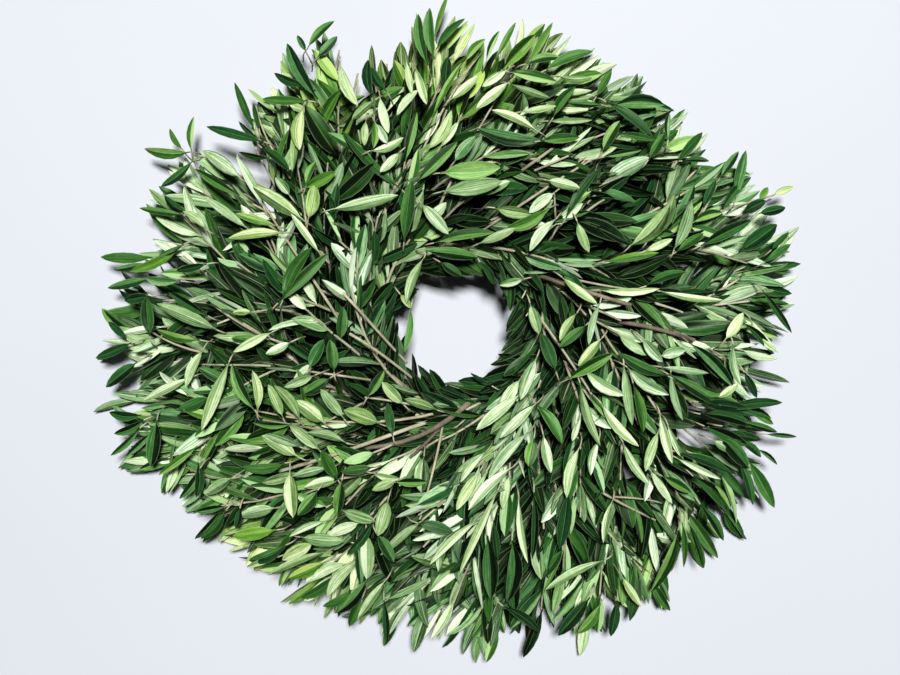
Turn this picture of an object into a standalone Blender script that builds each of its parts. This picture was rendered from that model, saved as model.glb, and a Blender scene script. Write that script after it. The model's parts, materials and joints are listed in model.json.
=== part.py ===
"""Olive wreath: leafy olive sprigs, clamped in bunches of four round a wire ring.

Metres, +Z up. The wreath lies on its back: the flat underside of the ring is on Z = 0,
the foliage faces +Z, and the centre of the wreath's footprint is on the Z axis.
Seen from above, every sprig leaves the ring clockwise and swings outwards.
"""

import math
import random
from dataclasses import dataclass

import bmesh
import bpy
from mathutils import Vector
from mathutils.bvhtree import BVHTree

UP = Vector((0.0, 0.0, 1.0))
SAME_DIRECTION = 1e-6

# The ring: one heavy wire with a flat top and bottom, and one clamp for each bunch.
RING_RADIUS = 0.0735
RING_WIRE = 0.005
RING_STEPS = 42
RING_SIDES = 6
RING_CORNER = RING_WIRE / 2 / math.sin(math.pi / 3)
BUNCHES = 14
BUNCH_STEP = 2 * math.pi / BUNCHES
FIRST_BUNCH = math.radians(90)

# The bundle of four stems in a clamp, two on two.
BUNDLE_HEADING = math.radians(60)
SEAT_GAP = 0.0003
STEM_BUTT_RADIUS = 0.0022
STEM_TIP_RADIUS = 0.0014
STEM_SIDES = 4
STEM_HALF = STEM_BUTT_RADIUS * math.cos(math.pi / STEM_SIDES)
STEM_PITCH = 2 * STEM_HALF + 0.0004
LOWER_STEM_Z = RING_WIRE + SEAT_GAP + STEM_HALF
BUTT_BEHIND_CLAMP = 0.024
BUTT_DRAW = (0.75, 1.10)
STRAIGHT_AFTER_CLAMP = 0.009
STEM_TRIES = 10

# A clamp: square wire bent round the bundle, its foot run sunk in the ring.
CLAMP_HALF = 0.0012
CLAMP_SIDES = 4
CLAMP_SIDE = STEM_PITCH / 2 + STEM_HALF + SEAT_GAP + CLAMP_HALF
CLAMP_FOOT_Z = 0.0034
CLAMP_TOP_Z = LOWER_STEM_Z + STEM_PITCH + STEM_HALF + SEAT_GAP + CLAMP_HALF
CLAMP_MOUTH = 0.0012

# How far the tip of a sprig is drawn away from its tier's own numbers.
SWING_DRAW = 3.5
RADIUS_DRAW = 0.045
HEIGHT_DRAW = 0.008
HEADING_DRAW = 8

# The footprint is a little wider than it is tall, and fuller below the hole.
RIM_OVAL = 0.036
RIM_FULLER = 0.02
FULLER_SIDE = math.radians(252)

# A blade: flat face above, keeled back below, given as shares of its length and width.
LEAF_STATIONS = ((0.32, 0.96), (0.68, 0.90))
LEAF_SIDES = 3
LEAF_KEEL = 0.0013
PETIOLE_HALF = 0.0006
LEAF_ARCH = (-0.02, 0.07)

# Leaves along a stem: opposite pairs, the last ones smaller, and one at the tip.
FIRST_LEAF = 0.040
LEAF_SPACING = 0.031
PAIR_PLACE = 0.35
YOUNG_FROM = 0.9
YOUNG_SIZE = 0.86
SIZE_DRAW = 0.1
TERMINAL_SHARE = 0.985
TERMINAL_SPREAD = 22
LEAF_SPREAD = 30
SPREAD_DRAW = 12
PAIR_LEANS = (-6, 14)
LEAN_DRAW = 40
TWIST_DRAW = 38

# The search for a free place: draws spread wider with every try, and blades turn small.
LEAF_TRIES = 40
FIRST_LOOSENESS = 0.35
CROWDED_SIZE = 0.8
LEAF_CLEARANCE = 0.0004
LOWEST_LEAF = 0.0012
HOLE_RADIUS = 0.042

# Each finish: its name, colour and roughness.
LACQUER = ("ring_lacquer", (0.035, 0.085, 0.05, 1.0), 0.45)
LEAF_UPPER = ("olive_leaf_upper", (0.085, 0.165, 0.075, 1.0), 0.42)
LEAF_UNDERSIDE = ("olive_leaf_underside", (0.36, 0.45, 0.24, 1.0), 0.65)


@dataclass(frozen=True)
class Tier:
    """One layer of the wreath: the same sprig of every bunch. Angles are in degrees.

    side and row say where its stem lies in the clamp, out or in and low or high.
    The tip is given by its radius, its swing clockwise from the clamp and its height,
    and tip_heading is its turn from the radius there. underside_share is how many of
    its sprigs show the pale backs of their leaves.
    """

    name: str
    side: int
    row: int
    exit_rise: float
    tip_radius: float
    tip_swing: float
    tip_height: float
    tip_heading: float
    tip_rise: float
    leaf_length: float
    leaf_width: float
    underside_share: float


TIERS = (
    Tier("outer", 1, 0, 0, 0.253, 38, 0.018, 20, 0, 0.054, 0.0140, 0.2),
    Tier("middle", -1, 0, 8, 0.234, 51, 0.046, 26, -6, 0.053, 0.0138, 0.4),
    Tier("crown", 1, 1, 24, 0.168, 66, 0.076, 42, -6, 0.051, 0.0136, 0.55),
    Tier("inner", -1, 1, 20, 0.066, 78, 0.046, 84, 2, 0.044, 0.0124, 0.4),
)


def polar(radius, angle, height):
    """A point by its distance from the ring's axis, its angle and its height."""
    return Vector((radius * math.cos(angle), radius * math.sin(angle), height))


def heading(angle, turn, rise=0.0):
    """The direction that leaves the radius at an angle by turn, clockwise, and climbs by rise."""
    flat = Vector((math.cos(angle - turn), math.sin(angle - turn), 0.0))
    return flat * math.cos(rise) + UP * math.sin(rise)


def either_way(draw, limit):
    """A drawn number between minus the limit and the limit."""
    return draw.uniform(-limit, limit)


def extent(points):
    """The lowest and highest corner of a box round points."""
    return Vector(map(min, *points)), Vector(map(max, *points))


class Spine:
    """The line of a sprig's stem: straight through its clamp, then one curve to its tip."""

    CURVE_STEPS = 4
    LENGTH_STEPS = 24
    HANDLE = 0.36
    NEAR = 0.02

    def __init__(self, tier, bunch, draw):
        angle = FIRST_BUNCH - bunch * BUNCH_STEP
        along = heading(angle, BUNDLE_HEADING)
        seat = polar(RING_RADIUS, angle, LOWER_STEM_Z + tier.row * STEM_PITCH)
        seat += UP.cross(along) * tier.side * STEM_PITCH / 2
        tip_angle = angle - math.radians(tier.tip_swing + either_way(draw, SWING_DRAW))
        rim = 1 + RIM_OVAL * math.cos(2 * tip_angle)
        rim += RIM_FULLER * math.cos(tip_angle - FULLER_SIDE)
        radius = tier.tip_radius * rim * (1 + either_way(draw, RADIUS_DRAW))
        height = tier.tip_height + either_way(draw, HEIGHT_DRAW)
        self.butt = seat - along * BUTT_BEHIND_CLAMP * draw.uniform(*BUTT_DRAW)
        self.start = seat + along * STRAIGHT_AFTER_CLAMP
        self.tip = polar(radius, tip_angle, height)
        pull = (self.tip - self.start).length * self.HANDLE
        leave = heading(angle, BUNDLE_HEADING, math.radians(tier.exit_rise))
        turn = math.radians(tier.tip_heading + either_way(draw, HEADING_DRAW))
        arrive = heading(tip_angle, turn, math.radians(tier.tip_rise))
        self.start_pull = self.start + leave * pull
        self.end_pull = self.tip - arrive * pull
        self.length = self.measure()

    def at(self, share):
        """The point of the curve at a share of its parameter."""
        rest = 1 - share
        point = self.start * rest**3 + self.tip * share**3
        return point + (self.start_pull * rest + self.end_pull * share) * 3 * rest * share

    def measure(self):
        """The length of the curve, by short chords."""
        points = [self.at(step / self.LENGTH_STEPS) for step in range(self.LENGTH_STEPS + 1)]
        return sum((after - before).length for before, after in zip(points, points[1:]))

    def direction(self, share):
        """The direction of growth at that share."""
        before = self.at(max(0.0, share - self.NEAR))
        after = self.at(min(1.0, share + self.NEAR))
        return (after - before).normalized()

    def points(self):
        """The points that the stem's tube runs through."""
        curve = [self.at(step / self.CURVE_STEPS) for step in range(self.CURVE_STEPS + 1)]
        return [self.butt, *curve]

    def on_tube(self, share):
        """The point in the middle of the tube's own straight runs at that share."""
        step = min(int(share * self.CURVE_STEPS), self.CURVE_STEPS - 1)
        before = self.at(step / self.CURVE_STEPS)
        after = self.at((step + 1) / self.CURVE_STEPS)
        return before.lerp(after, share * self.CURVE_STEPS - step)


def tube(points, radii, sides, up):
    """A closed tube of polygons through points, mitred at its bends, as vertices and faces."""
    vertices = []
    last = len(points) - 1
    for index, point in enumerate(points):
        into = (points[max(index, 1)] - points[max(index, 1) - 1]).normalized()
        out = (points[min(index, last - 1) + 1] - points[min(index, last - 1)]).normalized()
        along = (into + out).normalized()
        side = into.cross(up).normalized()
        top = side.cross(along).normalized()
        straight = (out - into).length < SAME_DIRECTION
        bend = side if straight else (out - into).normalized()
        stretch = 1 / along.dot(into) - 1
        for corner in range(sides):
            turn = 2 * math.pi * (corner + 0.5) / sides
            arm = side * math.cos(turn) + top * math.sin(turn)
            vertices.append(point + (arm + bend * arm.dot(bend) * stretch) * radii[index])
    faces = [tuple(reversed(range(sides)))]
    for start in range(0, last * sides, sides):
        for corner in range(sides):
            here = start + corner
            beside = start + (corner + 1) % sides
            faces.append((here, beside, beside + sides, here + sides))
    faces.append(tuple(range(last * sides, len(vertices))))
    return vertices, faces


def blade(root, along, face, length, width, arch):
    """One olive blade as vertices and triangles: a three-sided bar that ends in a point.

    The face direction is its flat upper side, and arch lifts its middle that way.
    """
    side = along.cross(face).normalized()
    face = side.cross(along).normalized()
    half_root = side * PETIOLE_HALF
    upper_root = root + face * PETIOLE_HALF
    vertices = [upper_root - half_root, upper_root + half_root, upper_root - face * LEAF_KEEL]
    for share, broad in LEAF_STATIONS:
        centre = root + along * length * share + face * arch * math.sin(math.pi * share)
        half = side * width / 2 * broad
        vertices += [centre - half, centre + half, centre - face * LEAF_KEEL]
    vertices.append(root + along * length)
    tip = len(vertices) - 1
    faces = [(0, 1, 2)]
    for start in range(0, tip, LEAF_SIDES):
        for corner in range(LEAF_SIDES):
            here = start + corner
            beside = start + (corner + 1) % LEAF_SIDES
            if start + LEAF_SIDES == tip:
                faces.append((here, tip, beside))
            else:
                faces.append((here, here + LEAF_SIDES, beside + LEAF_SIDES))
                faces.append((here, beside + LEAF_SIDES, beside))
    return vertices, faces


def mesh_object(name, vertices, faces, material):
    """A new object of those faces, pointing outwards."""
    mesh = bpy.data.meshes.new(name)
    mesh.materials.append(material)
    work = bmesh.new()
    corners = [work.verts.new(vertex) for vertex in vertices]
    for face in faces:
        work.faces.new([corners[index] for index in face])
    bmesh.ops.recalc_face_normals(work, faces=work.faces)
    work.to_mesh(mesh)
    work.free()
    made = bpy.data.objects.new(name, mesh)
    bpy.context.scene.collection.objects.link(made)
    return made


def fuse(base, pieces):
    """Joins pieces to base in one Boolean union, then removes them."""
    group = bpy.data.collections.new(base.name + "_pieces")
    bpy.context.scene.collection.children.link(group)
    for piece in pieces:
        bpy.context.scene.collection.objects.unlink(piece)
        group.objects.link(piece)
    union = base.modifiers.new("union", "BOOLEAN")
    union.operation = "UNION"
    union.operand_type = "COLLECTION"
    union.collection = group
    union.solver = "EXACT"
    bpy.context.view_layer.objects.active = base
    bpy.ops.object.modifier_apply(modifier=union.name)
    for piece in pieces:
        bpy.data.objects.remove(piece)
    bpy.data.collections.remove(group)


def finish(name, colour, roughness):
    """A Principled material of one colour."""
    made = bpy.data.materials.new(name)
    made.use_nodes = True
    made.diffuse_color = colour
    shader = made.node_tree.nodes["Principled BSDF"]
    shader.inputs["Base Color"].default_value = colour
    shader.inputs["Roughness"].default_value = roughness
    return made


class Clearance:
    """What has been placed, so that nothing new crosses it."""

    def __init__(self):
        self.placed = []

    def add(self, owner, vertices, faces):
        """Keeps a shape that belongs to owner."""
        tree = BVHTree.FromPolygons(vertices, faces)
        self.placed.append((owner, tree, *extent(vertices)))

    def free(self, owner, vertices, faces):
        """True where a shape crosses nothing of any other owner."""
        low, high = extent(vertices)
        tree = BVHTree.FromPolygons(vertices, faces)
        for other, placed, other_low, other_high in self.placed:
            apart = any(low[i] > other_high[i] or high[i] < other_low[i] for i in range(3))
            if other != owner and not apart and tree.overlap(placed):
                return False
        return True


def ring_wire():
    """The wire ring's vertices and faces."""
    profile = []
    for corner in range(RING_SIDES):
        turn = 2 * math.pi * corner / RING_SIDES
        out = RING_RADIUS + RING_WIRE / 2 * math.cos(turn)
        profile.append((out, RING_WIRE / 2 + RING_CORNER * math.sin(turn)))
    vertices = []
    faces = []
    for step in range(RING_STEPS):
        turn = 2 * math.pi * step / RING_STEPS
        vertices += [polar(out, turn, height) for out, height in profile]
        start = step * RING_SIDES
        ahead = (step + 1) % RING_STEPS * RING_SIDES
        for corner in range(RING_SIDES):
            beside = (corner + 1) % RING_SIDES
            faces.append((start + corner, start + beside, ahead + beside, ahead + corner))
    return vertices, faces


def clamp_wire(bunch):
    """One clamp's vertices and faces: an open loop round the seat of a bunch."""
    angle = FIRST_BUNCH - bunch * BUNCH_STEP
    along = heading(angle, BUNDLE_HEADING)
    across = UP.cross(along)
    outline = (
        (-CLAMP_MOUTH, CLAMP_TOP_Z),
        (-CLAMP_SIDE, CLAMP_TOP_Z),
        (-CLAMP_SIDE, CLAMP_FOOT_Z),
        (CLAMP_SIDE, CLAMP_FOOT_Z),
        (CLAMP_SIDE, CLAMP_TOP_Z),
        (CLAMP_MOUTH, CLAMP_TOP_Z),
    )
    bends = [polar(RING_RADIUS, angle, height) + across * out for out, height in outline]
    radius = CLAMP_HALF / math.cos(math.pi / CLAMP_SIDES)
    return tube(bends, [radius] * len(bends), CLAMP_SIDES, along)


def build_ring(space, lacquer):
    """The wire ring with a clamp bent round the seat of each bunch."""
    name = "clamp_ring"
    wire = ring_wire()
    space.add(name, *wire)
    clamps = []
    for bunch in range(BUNCHES):
        clamp = clamp_wire(bunch)
        space.add(name, *clamp)
        clamps.append(mesh_object(f"clamp_{bunch + 1:02d}", *clamp, lacquer))
    fuse(mesh_object(name, *wire, lacquer), clamps)


def build_stem(spine):
    """The stem's tube, thinning from the clamp to the tip."""
    points = spine.points()
    thinning = (STEM_BUTT_RADIUS - STEM_TIP_RADIUS) / spine.CURVE_STEPS
    radii = [STEM_BUTT_RADIUS - thinning * max(0, index - 1) for index in range(len(points))]
    return tube(points, radii, STEM_SIDES, UP)


def grow_stems(space):
    """The name, tier, spine and stem of every sprig, drawn again where a stem would cross another."""
    grown = []
    for tier in TIERS:
        for bunch in range(BUNCHES):
            name = f"sprig_{tier.name}_{bunch + 1:02d}"
            for attempt in range(STEM_TRIES):
                spine = Spine(tier, bunch, random.Random(f"{name} spine {attempt}"))
                stem = build_stem(spine)
                if space.free(name, *stem):
                    break
            space.add(name, *stem)
            grown.append((name, tier, spine, stem))
    return grown


def leaf_places(spine):
    """Where leaves grow: the share of the curve, the side of the stem and the pair's number."""
    pairs = int((spine.length - FIRST_LEAF) / LEAF_SPACING)
    spacing = (spine.length - FIRST_LEAF) / pairs
    for pair in range(pairs):
        share = (FIRST_LEAF + spacing * (pair + PAIR_PLACE)) / spine.length
        yield share, -1, pair
        yield share, 1, pair
    yield TERMINAL_SHARE, 0, pairs


def draw_leaf(tier, spine, place, draw, attempt, underside):
    """One draw of a leaf at its place, wilder with every attempt."""
    share, side, pair = place
    along = spine.direction(share)
    level = along.cross(UP).normalized()
    up = level.cross(along).normalized()
    loose = FIRST_LOOSENESS + attempt / LEAF_TRIES
    size = 1 + either_way(draw, SIZE_DRAW)
    if share > YOUNG_FROM:
        size *= YOUNG_SIZE
    if attempt > LEAF_TRIES / 2:
        size *= CROWDED_SIZE
    lean = math.radians(PAIR_LEANS[pair % 2] + either_way(draw, LEAN_DRAW) * loose)
    spread = math.radians(LEAF_SPREAD + either_way(draw, SPREAD_DRAW) * loose)
    out = level * side * math.cos(lean) + up * math.sin(lean)
    if side == 0:
        spread = math.radians(either_way(draw, TERMINAL_SPREAD) * loose)
        out = up
    grow = along * math.cos(spread) + out * math.sin(spread)
    twist = math.radians(either_way(draw, TWIST_DRAW) * loose)
    face = up * math.cos(twist) + level * math.sin(twist)
    length = tier.leaf_length * size
    arch = length * draw.uniform(*LEAF_ARCH)
    if underside:
        face.negate()
        arch = -arch
    return blade(spine.on_tube(share), grow, face, length, tier.leaf_width * size, arch)


def with_room(vertices):
    """The blade's vertices, those beyond its root moved out from its middle by the clearance."""
    root, rest = vertices[:LEAF_SIDES], vertices[LEAF_SIDES:]
    middle = sum(rest, Vector()) / len(rest)
    return root + [vertex + (vertex - middle).normalized() * LEAF_CLEARANCE for vertex in rest]


def within_bounds(vertices):
    """True where a blade stays off the surface below and out of the hole."""
    lowest = min(vertex.z for vertex in vertices)
    innermost = min(vertex.xy.length for vertex in vertices)
    return lowest > LOWEST_LEAF and innermost > HOLE_RADIUS


def grow_leaf(tier, spine, place, draw, space, name, underside):
    """The first draw of a leaf that is within bounds and crosses no other node, or None."""
    for attempt in range(LEAF_TRIES):
        vertices, faces = draw_leaf(tier, spine, place, draw, attempt, underside)
        if within_bounds(vertices) and space.free(name, with_room(vertices), faces):
            space.add(name, vertices, faces)
            return vertices, faces
    return None


def build_sprigs(space, upper, back):
    """Every sprig, as a stem with its leaves fused to it, green or pale side up."""
    for name, tier, spine, stem in grow_stems(space):
        draw = random.Random(f"{name} leaves")
        underside = draw.random() < tier.underside_share
        colour = back if underside else upper
        leaves = []
        for place in leaf_places(spine):
            leaf = grow_leaf(tier, spine, place, draw, space, name, underside)
            if leaf:
                leaves.append(mesh_object(f"{name}_leaf", *leaf, colour))
        fuse(mesh_object(name, *stem, colour), leaves)


def centre_footprint():
    """Moves the wreath so that its footprint is centred on the Z axis."""
    bpy.context.view_layer.update()
    corners = [
        made.matrix_world @ Vector(corner)
        for made in bpy.context.scene.objects
        for corner in made.bound_box
    ]
    low, high = extent(corners)
    offset = (low + high) / 2
    for made in bpy.context.scene.objects:
        made.location.x -= offset.x
        made.location.y -= offset.y


def main():
    """Clears the scene and builds the wreath."""
    for old in list(bpy.data.objects):
        bpy.data.objects.remove(old)
    space = Clearance()
    build_ring(space, finish(*LACQUER))
    build_sprigs(space, finish(*LEAF_UPPER), finish(*LEAF_UNDERSIDE))
    centre_footprint()


main()
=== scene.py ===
"""The looks of the olive wreath: fine leafy sprigs round the CAD frame, a floor, light and a camera.

Metres, +Z up, in the frame of the CAD model: the wreath lies on its back and faces +Z, and the
camera looks straight down on it. Each fine sprig follows the stem of the CAD sprig that it
replaces, and adds side shoots and the many leaves that fill the wreath. The leaves and bare stems
that stand out lie on top, each placed by the pixels at which the camera sees it.
"""

import json
import logging
import math
import random
from collections.abc import Callable, Iterator
from dataclasses import dataclass, field
from enum import Enum

import bmesh
import bpy
import numpy as np
from mathutils import Matrix, Vector


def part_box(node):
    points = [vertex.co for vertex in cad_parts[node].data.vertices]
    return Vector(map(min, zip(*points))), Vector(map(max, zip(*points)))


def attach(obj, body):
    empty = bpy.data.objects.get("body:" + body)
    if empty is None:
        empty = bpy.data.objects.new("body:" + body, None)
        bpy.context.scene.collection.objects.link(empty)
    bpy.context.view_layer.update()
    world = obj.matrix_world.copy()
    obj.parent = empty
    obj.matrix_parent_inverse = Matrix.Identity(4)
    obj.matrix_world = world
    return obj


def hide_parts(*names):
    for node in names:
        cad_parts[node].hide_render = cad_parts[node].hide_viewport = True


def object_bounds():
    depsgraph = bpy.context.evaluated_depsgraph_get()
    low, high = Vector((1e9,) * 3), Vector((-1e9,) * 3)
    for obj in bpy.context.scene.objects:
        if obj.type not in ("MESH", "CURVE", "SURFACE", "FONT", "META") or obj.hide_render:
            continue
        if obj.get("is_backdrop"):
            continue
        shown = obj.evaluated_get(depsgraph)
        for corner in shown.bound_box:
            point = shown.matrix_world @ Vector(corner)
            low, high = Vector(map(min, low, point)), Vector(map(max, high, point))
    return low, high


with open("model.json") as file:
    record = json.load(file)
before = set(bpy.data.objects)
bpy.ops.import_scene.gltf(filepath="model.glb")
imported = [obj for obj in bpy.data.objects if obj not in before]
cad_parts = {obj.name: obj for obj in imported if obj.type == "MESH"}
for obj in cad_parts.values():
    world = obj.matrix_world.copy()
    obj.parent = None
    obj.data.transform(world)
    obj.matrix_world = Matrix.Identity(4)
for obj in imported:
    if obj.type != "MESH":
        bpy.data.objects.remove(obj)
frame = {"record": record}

LOG = logging.getLogger("olive_wreath")
UP = Vector((0.0, 0.0, 1.0))
LEAF_MAP = "LeafMap"
LEAF_TINT = "leaf_tint"

Draw = random.Random
Object = bpy.types.Object
Material = bpy.types.Material
Tree = bpy.types.NodeTree
Node = bpy.types.Node
Socket = bpy.types.NodeSocket
Value = float | tuple[float, ...]
Stops = tuple[tuple[float, str], ...]
Tint = tuple[float, float, float]
Pixel = tuple[float, float]
Knot = tuple[Vector, Vector, Vector, float]

# The sRGB curve: a straight start up to the knee, then a power.
SRGB_KNEE = 0.04045
SRGB_SLOPE = 12.92
SRGB_OFFSET = 0.055
SRGB_POWER = 2.4

# A Mix node's sockets for its two numbers and its two colours, and its output for colours.
NUMBER_A, NUMBER_B = 2, 3
COLOUR_A, COLOUR_B = 6, 7
COLOUR_OUT = 2

# The wire ring and the bundle of four stems in each clamp, as in the CAD model.
RING_RADIUS = 0.0735
RING_WIRE = 0.005
BUNCHES = 14
BUNCH_STEP = 2 * math.pi / BUNCHES
FIRST_BUNCH = math.radians(90)
BUNDLE_HEADING = math.radians(60)
SEAT_GAP = 0.0003
STEM_BUTT_RADIUS = 0.0022
STEM_HALF = STEM_BUTT_RADIUS * math.cos(math.pi / 4)
STEM_PITCH = 2 * STEM_HALF + 0.0004
LOWER_STEM_Z = RING_WIRE + SEAT_GAP + STEM_HALF
BUTT_BEHIND_CLAMP = 0.024
BUTT_DRAW = (0.75, 1.10)
STRAIGHT_AFTER_CLAMP = 0.009

# How the CAD model draws each stem's curve and tip, and its two stems that were drawn again.
STEM_PULL = 0.36
SWING_DRAW = 3.5
RADIUS_DRAW = 0.045
HEIGHT_DRAW = 0.008
HEADING_DRAW = 8
RIM_OVAL = 0.036
RIM_FULLER = 0.02
FULLER_SIDE = math.radians(252)
REDRAWN_STEMS = {"sprig_inner_02": 3, "sprig_inner_09": 1}

# A fine main stem's radius at its root and at its tip.
STEM_RADIUS = 0.0019
STEM_TIP_RADIUS = 0.0007

# Where leaves may be: off the floor, out of the hole, and how far past the CAD model's box and
# the foliage's rim.
LOWEST_LEAF = 0.0008
HOLE_RADIUS = 0.0408
PROUD_OF_BOX = 0.008
PROUD_OF_RIM = 0.010

# The camera above the wreath, and the size of a picture's pixel at the height of the rim.
CAMERA_X = 0.0041
CAMERA_Y = -0.0072
CAMERA_HEIGHT = 1.08
RIM_HEIGHT = 0.02
PICTURE_WIDTH = 900
PICTURE_HEIGHT = 675
PIXEL = 0.000865


class Side(Enum):
    """The side of a leaf that is turned to the viewer."""

    UPPER = 0
    BACK = 1


class Slot(Enum):
    """The material slots of a sprig, in their order."""

    UPPER = 0
    BACK = 1
    BARK = 2


def polar(radius: float, angle: float, height: float) -> Vector:
    """A point by its distance from the ring's axis, its angle and its height."""
    return Vector((radius * math.cos(angle), radius * math.sin(angle), height))


def heading(angle: float, turn: float, rise: float = 0.0) -> Vector:
    """The direction that leaves the radius at an angle by turn, clockwise, and climbs by rise."""
    flat = Vector((math.cos(angle - turn), math.sin(angle - turn), 0.0))
    return flat * math.cos(rise) + UP * math.sin(rise)


def seen_at(pixel: Pixel, height: float) -> Vector:
    """The point that the camera sees at a pixel.

    Args:
        pixel: The pixel, counted from the picture's top left.
        height: The point's height.

    Returns:
        The point.
    """
    size = PIXEL * (CAMERA_HEIGHT - height) / (CAMERA_HEIGHT - RIM_HEIGHT)
    across = (pixel[0] - PICTURE_WIDTH / 2) * size
    down = (pixel[1] - PICTURE_HEIGHT / 2) * size
    return Vector((CAMERA_X + across, CAMERA_Y - down, height))


def either_way(draw: Draw, limit: float) -> float:
    """A drawn number between minus the limit and the limit."""
    return draw.uniform(-limit, limit)


def clamp(value: float) -> float:
    """The value, kept between 0 and 1."""
    return min(1.0, max(0.0, value))


def linear(code: str) -> tuple[float, float, float, float]:
    """Turns an sRGB colour to a linear one.

    Args:
        code: The colour's hex code, such as "#2E6B2E".

    Returns:
        Its linear red, green, blue and alpha.
    """
    shares = [int(code[start : start + 2], 16) / 255 for start in (1, 3, 5)]
    red, green, blue = (
        share / SRGB_SLOPE
        if share <= SRGB_KNEE
        else ((share + SRGB_OFFSET) / (1 + SRGB_OFFSET)) ** SRGB_POWER
        for share in shares
    )
    return red, green, blue, 1.0


def add_node(
    tree: Tree,
    kind: str,
    links: dict[str | int, Socket] | None = None,
    values: dict[str | int, Value] | None = None,
    **settings: str | bool,
) -> Node:
    """Adds one node to a material.

    Args:
        tree: The node tree.
        kind: The node's type, without its leading "ShaderNode".
        links: The output that each named or numbered input reads.
        values: The value of each named or numbered input.
        settings: The node's own settings.

    Returns:
        The new node.
    """
    made = tree.nodes.new("ShaderNode" + kind)
    for name, value in settings.items():
        setattr(made, name, value)
    for name, value in (values or {}).items():
        made.inputs[name].default_value = value
    for name, output in (links or {}).items():
        tree.links.new(output, made.inputs[name])
    return made


def add_ramp(tree: Tree, share: Socket, stops: Stops) -> Socket:
    """Adds a colour ramp.

    Args:
        tree: The node tree.
        share: The output that the ramp reads.
        stops: The place and the hex colour of each stop.

    Returns:
        The ramp's colour output.
    """
    ramp = add_node(tree, "ValToRGB", {"Fac": share})
    stops_made = ramp.color_ramp.elements
    while len(stops_made) < len(stops):
        stops_made.new(1.0)
    for made, (place, code) in zip(stops_made, stops):
        made.position = place
        made.color = linear(code)
    return ramp.outputs["Color"]


def new_material(name: str) -> tuple[Material, Tree, Node]:
    """Makes a node material.

    Args:
        name: The material's name.

    Returns:
        The material, its node tree and its Principled shader.
    """
    made = bpy.data.materials.new(name)
    made.use_nodes = True
    return made, made.node_tree, made.node_tree.nodes["Principled BSDF"]


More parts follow.
